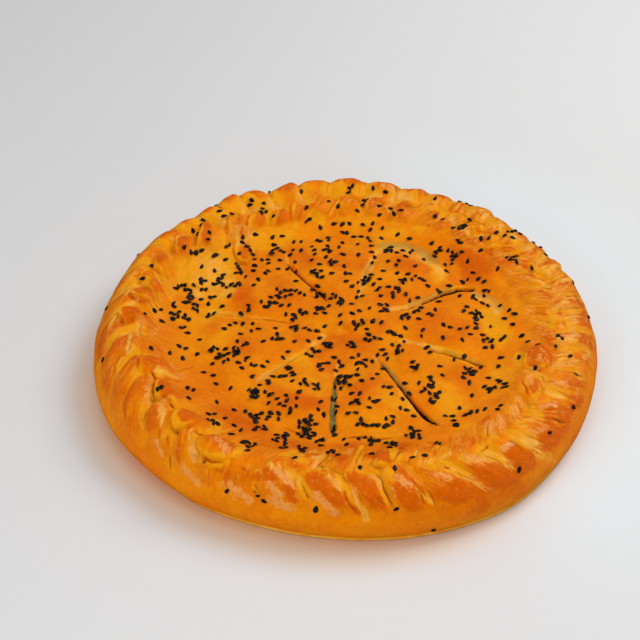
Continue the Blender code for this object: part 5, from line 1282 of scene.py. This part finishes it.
# --------------------------------------------------------------- the materials
class Graph:
    """Short ways to make and link shader nodes."""

    def __init__(self, name):
        self.material = bpy.data.materials.new(name)
        self.material.use_nodes = True
        self.tree = self.material.node_tree
        self.shader = self.tree.nodes["Principled BSDF"]
        self.where = self.tree.nodes.new("ShaderNodeTexCoord").outputs["Object"]

    def put(self, socket, value):
        if isinstance(value, bpy.types.NodeSocket):
            self.tree.links.new(value, socket)
        else:
            socket.default_value = value

    def attribute(self, name, out="Fac"):
        node = self.tree.nodes.new("ShaderNodeAttribute")
        node.attribute_name = name
        return node.outputs[out]

    def noise(self, scale, detail=3.0, rough=0.5, where=None, distort=0.0):
        node = self.tree.nodes.new("ShaderNodeTexNoise")
        self.put(node.inputs["Vector"], where or self.where)
        node.inputs["Scale"].default_value = scale
        node.inputs["Detail"].default_value = detail
        node.inputs["Roughness"].default_value = rough
        node.inputs["Distortion"].default_value = distort
        return node.outputs["Fac"]

    def stretched(self, vector, scale):
        node = self.tree.nodes.new("ShaderNodeVectorMath")
        node.operation = "MULTIPLY"
        self.put(node.inputs[0], vector)
        node.inputs[1].default_value = scale
        return node.outputs["Vector"]

    def ramp(self, value, low, high, to_low=0.0, to_high=1.0):
        node = self.tree.nodes.new("ShaderNodeMapRange")
        node.interpolation_type = "SMOOTHSTEP"
        for socket, v in zip(node.inputs[:5], (value, low, high, to_low, to_high)):
            self.put(socket, v)
        return node.outputs["Result"]

    def math(self, how, a, b=0.0, clamp=False):
        node = self.tree.nodes.new("ShaderNodeMath")
        node.operation = how
        node.use_clamp = clamp
        self.put(node.inputs[0], a)
        self.put(node.inputs[1], b)
        return node.outputs[0]

    def mix(self, factor, a, b):
        node = self.tree.nodes.new("ShaderNodeMix")
        node.data_type = "RGBA"
        self.put(node.inputs["Factor"], factor)
        self.put([s for s in node.inputs if s.name == "A" and s.type == "RGBA"][0], a)
        self.put([s for s in node.inputs if s.name == "B" and s.type == "RGBA"][0], b)
        return [s for s in node.outputs if s.type == "RGBA"][0]

    def bump(self, height, distance, strength, normal=None):
        node = self.tree.nodes.new("ShaderNodeBump")
        self.put(node.inputs["Height"], height)
        node.inputs["Distance"].default_value = distance
        self.put(node.inputs["Strength"], strength)
        if normal is not None:
            self.put(node.inputs["Normal"], normal)
        return node.outputs["Normal"]


def crust_material():
    g = Graph("baked_crust")
    gold = (0.86, 0.205, 0.0010, 1)
    honey = (0.90, 0.275, 0.0015, 1)
    brown = (0.72, 0.118, 0.0010, 1)
    pale = (0.90, 0.335, 0.004, 1)
    cream = (0.94, 0.46, 0.070, 1)
    crease_shade_tone = (0.36, 0.058, 0.0015, 1)
    painted_sheen_peach = (0.95, 0.36, 0.070, 1)
    olive = (0.42, 0.235, 0.030, 1)
    filling = (0.20, 0.16, 0.045, 1)
    vent_shade = (0.035, 0.008, 0.003, 1)
    sole = (0.50, 0.20, 0.045, 1)

    flow = g.attribute("flow", "Vector")
    drawn = g.stretched(flow, (1.0, 1.0, 0.22))
    on_rim = g.attribute("rim")
    broad = g.noise(38.0, 4.0, 0.55)
    mottle = g.noise(150.0, 4.0, 0.6)
    speck = g.noise(700.0, 3.0, 0.6)
    streak = g.noise(620.0, 4.0, 0.6, where=drawn, distort=0.6)
    streak_off = g.math("MULTIPLY", g.math("SUBTRACT", streak, 0.5), g.math("MULTIPLY", on_rim, 1.3))
    mottle_off = g.math("MULTIPLY", g.math("SUBTRACT", mottle, 0.5), 0.9)

    color = g.mix(g.ramp(broad, 0.40, 0.64), gold, honey)
    b = g.math("ADD", g.math("ADD", g.attribute("brown"), mottle_off), streak_off)
    color = g.mix(g.ramp(b, 0.02, 0.88, 0.0, 1.0), color, brown)
    p = g.math("SUBTRACT", g.math("ADD", g.attribute("pale"), mottle_off), streak_off)
    color = g.mix(g.ramp(p, 0.08, 0.75, 0.0, 1.0), color, pale)
    grit = g.noise(430.0, 4.0, 0.65)
    either = g.math("ADD", g.math("MULTIPLY", on_rim, g.math("SUBTRACT", streak, grit)), grit)
    uneven = g.math("SUBTRACT", g.ramp(either, 0.36, 0.58, 1.30, 0.35), 0.85)
    uneven = g.math("ADD", g.math("MULTIPLY", uneven, g.math("ADD", g.math("MULTIPLY", on_rim, 0.75), 0.25)), 0.85)
    c = g.math("MULTIPLY", g.attribute("cream"), uneven)
    color = g.mix(g.ramp(c, 0.10, 0.80, 0.0, 0.85), color, cream)
    color = g.mix(g.attribute("lip"), color, (0.98, 0.52, 0.065, 1))
    net = g.noise(900.0, 3.0, 0.7, where=g.stretched(flow, (1.0, 1.0, 0.55)), distort=0.5)
    # painted sheen: peach mixed in where the skin is glossy
    skin = g.math("ADD", g.attribute("gloss_and_painted_sheen"), g.math("MULTIPLY", g.math("SUBTRACT", net, 0.5), 3.2))
    color = g.mix(g.ramp(skin, 0.45, 1.05, 0.0, 0.85), color, painted_sheen_peach)
    # flakes: short pale and dark streaks along the pleats
    flake = g.noise(330.0, 5.0, 0.72, where=g.stretched(flow, (1.0, 1.0, 0.40)), distort=0.8)
    flaky = g.attribute("flaky")
    color = g.mix(g.math("MULTIPLY", g.ramp(flake, 0.555, 0.68), flaky), color, (0.97, 0.50, 0.080, 1))
    color = g.mix(g.math("MULTIPLY", g.ramp(flake, 0.445, 0.33), flaky), color, (0.55, 0.085, 0.0012, 1))
    color = g.mix(g.ramp(g.attribute("olive"), 0.15, 0.9, 0.0, 0.75), color, olive)
    # painted shade in creases, in vent lines and under free edges
    color = g.mix(g.ramp(g.attribute("crease_shade"), 0.10, 0.80, 0.0, 0.95), color, crease_shade_tone)
    pits = g.ramp(g.noise(330.0, 2.0, 0.5), 0.70, 0.78, 0.0, 0.5)
    color = g.mix(pits, color, brown)
    grain = g.math("ADD", g.noise(520.0, 3.0, 0.6), g.noise(210.0, 3.0, 0.6))
    shade = g.tree.nodes.new("ShaderNodeHueSaturation")
    g.put(shade.inputs["Value"], g.ramp(grain, 0.72, 1.28, 0.93, 1.07))
    g.put(shade.inputs["Color"], color)
    color = shade.outputs["Color"]
    color = g.mix(g.attribute("sole"), color, sole)
    color = g.mix(g.ramp(g.attribute("herb"), 0.2, 0.9), color, g.mix(g.ramp(speck, 0.4, 0.6), filling, (0.34, 0.26, 0.07, 1)))
    # painted shade: near black down in the open vents
    color = g.mix(g.ramp(g.attribute("gap"), 0.2, 0.9), color, vent_shade)
    g.put(g.shader.inputs["Base Color"], color)

    rough = g.ramp(mottle, 0.3, 0.7, 0.34, 0.48)
    rough = g.math("ADD", rough, g.math("MULTIPLY", g.attribute("sole"), 0.3), clamp=True)
    g.put(g.shader.inputs["Roughness"], rough)
    g.shader.inputs["Specular IOR Level"].default_value = 0.15
    g.shader.inputs["Specular Tint"].default_value = (1.0, 0.50, 0.06, 1)
    g.put(g.shader.inputs["Coat Weight"], g.ramp(g.attribute("gloss_and_painted_sheen"), 0.35, 1.0, 0.0, 0.40))
    g.shader.inputs["Coat Roughness"].default_value = 0.25

    wrinkle = g.noise(420.0, 4.0, 0.6, where=flow, distort=0.4)
    n = g.bump(wrinkle, 0.0005, g.ramp(g.attribute("gloss_and_painted_sheen"), 0.1, 0.8, 0.18, 0.6))
    n = g.bump(streak, 0.0004, g.math("MULTIPLY", on_rim, 0.55), n)
    n = g.bump(net, 0.00015, g.ramp(g.attribute("gloss_and_painted_sheen"), 0.1, 0.8, 0.25, 0.9), n)
    n = g.bump(grain, 0.00025, 0.25, n)
    g.put(g.shader.inputs["Normal"], n)
    return g.material


def seed_material():
    g = Graph("black_sesame")
    tone = g.attribute("tone")
    a = g.mix(tone, (0.006, 0.0055, 0.005, 1), (0.014, 0.011, 0.008, 1))
    color = g.mix(g.ramp(g.noise(900.0, 3.0), 0.45, 0.75), a, (0.020, 0.018, 0.012, 1))
    g.put(g.shader.inputs["Base Color"], color)
    g.put(g.shader.inputs["Roughness"], g.ramp(g.noise(1500.0, 2.0), 0.3, 0.7, 0.32, 0.5))
    g.shader.inputs["Specular IOR Level"].default_value = 0.22
    g.shader.inputs["Specular Tint"].default_value = (1.0, 0.80, 0.60, 1)
    g.put(g.shader.inputs["Normal"], g.bump(g.noise(2600.0, 2.0), 0.00006, 0.5))
    return g.material


def floor_material():
    g = Graph("pale_floor")
    color = g.mix(g.ramp(g.noise(2.0, 2.0), 0.3, 0.7), (0.79, 0.785, 0.78, 1), (0.81, 0.805, 0.80, 1))
    split = g.tree.nodes.new("ShaderNodeSeparateXYZ")
    g.put(split.inputs[0], g.where)
    x, y = split.outputs[0], split.outputs[1]
    # painted shade: greyer towards the far left, where less light falls
    far = g.math("SUBTRACT", g.math("MULTIPLY", y, 0.55), x)
    color = g.mix(g.ramp(far, -0.1, 0.50, 0.0, 0.45), color, (0.50, 0.49, 0.485, 1))
    # light from the crust warms the floor beside it, most at the near left
    r = g.math("SQRT", g.math("ADD", g.math("POWER", x, 2.0), g.math("POWER", y, 2.0)))
    side = g.math("DIVIDE", g.math("SUBTRACT", g.math("MULTIPLY", y, -0.85), g.math("MULTIPLY", x, 0.55)), r)
    glow = g.math("MULTIPLY", g.ramp(r, 0.116, 0.142, 1.0, 0.0), g.ramp(side, 0.0, 0.9, 0.0, 1.0))
    color = g.mix(g.math("MULTIPLY", glow, 0.60), color, (0.80, 0.55, 0.25, 1))
    # painted cool tint on the floor beside the right of the crust, taking out warm light the crust throws there
    other = g.math("MULTIPLY", g.ramp(r, 0.120, 0.22, 1.0, 0.0), g.ramp(side, 0.05, 0.60, 1.0, 0.0))
    other = g.math("MULTIPLY", other, g.ramp(x, -0.03, 0.08))
    color = g.mix(other, color, (0.83, 0.89, 0.91, 1))
    g.put(g.shader.inputs["Base Color"], color)
    g.shader.inputs["Roughness"].default_value = 0.9
    g.shader.inputs["Specular IOR Level"].default_value = 0.1
    return g.material


crust.data.materials.append(crust_material())
seeds.data.materials.append(seed_material())

# ------------------------------------------------------------ floor and lights
floor_mesh = bpy.data.meshes.new("floor")
floor_mesh.from_pydata([(-12, -12, -0.0003), (12, -12, -0.0003), (12, 12, -0.0003), (-12, 12, -0.0003)], [], [(0, 1, 2, 3)])
floor = bpy.data.objects.new("floor", floor_mesh)
bpy.context.scene.collection.objects.link(floor)
floor.data.materials.append(floor_material())
floor.visible_glossy = False


def area_light(name, place, look_at, size, watts, color=(1, 1, 1), glossy=True):
    data = bpy.data.lights.new(name, "AREA")
    data.shape = "DISK"
    data.size = size
    data.energy = watts
    data.color = color
    obj = bpy.data.objects.new(name, data)
    obj.location = place
    obj.rotation_mode = "QUATERNION"
    obj.rotation_quaternion = (Vector(look_at) - Vector(place)).to_track_quat("-Z", "Y")
    obj.visible_glossy = glossy
    bpy.context.scene.collection.objects.link(obj)
    return obj


area_light("key", (0.85, 0.45, 1.15), (0, 0, 0.02), 0.9, 9.0, (1.0, 0.985, 0.96))
area_light("top", (0.0, -0.25, 1.5), (0, 0, 0.02), 0.8, 2.0, (1.0, 0.99, 0.97))
area_light("fill", (-0.95, -1.30, 0.7), (0, 0, 0.02), 1.2, 7.5, (1.0, 0.99, 0.98), glossy=False)

world = bpy.data.worlds.new("studio")
world.use_nodes = True
world.node_tree.nodes["Background"].inputs["Color"].default_value = (0.95, 0.97, 1.0, 1)
world.node_tree.nodes["Background"].inputs["Strength"].default_value = 0.52
world.cycles_visibility.glossy = False
bpy.context.scene.world = world
bpy.context.scene.view_settings.view_transform = "Standard"

# ------------------------------------------------------------------ the camera
PITCH, DISTANCE, FOCAL = 41.55, 1030.0, 2132.9      # degrees, mm, pixels at 640 wide
AIM = (346.44 - 0.16, 368.28 - 0.32)                # where the origin falls, in pixels
e = math.radians(PITCH)
forward = Vector((0.0, math.cos(e), -math.sin(e)))
right = Vector((1.0, 0.0, 0.0))
up = right.cross(forward)
# turn the view so that the origin falls at AIM, without lens shift
look = forward * FOCAL + right * -(AIM[0] - 320.0) + up * (AIM[1] - 320.0)
camera_data = bpy.data.cameras.new("camera")
camera_data.sensor_width = 36.0
camera_data.lens = FOCAL / 640.0 * 36.0
camera_data.clip_start, camera_data.clip_end = 0.05, 60.0
camera = bpy.data.objects.new("camera", camera_data)
camera.location = (Vector((-MIDDLE[0], -MIDDLE[1], 0.0)) - forward * DISTANCE) * MM
camera.rotation_mode = "QUATERNION"
camera.rotation_quaternion = look.normalized().to_track_quat("-Z", "Y")
bpy.context.scene.collection.objects.link(camera)
bpy.context.scene.camera = camera

# ------------------------------------------------------------------ the pieces
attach(crust, "root")
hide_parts("meat_pie")
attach(seeds, "root")

bpy.context.view_layer.update()
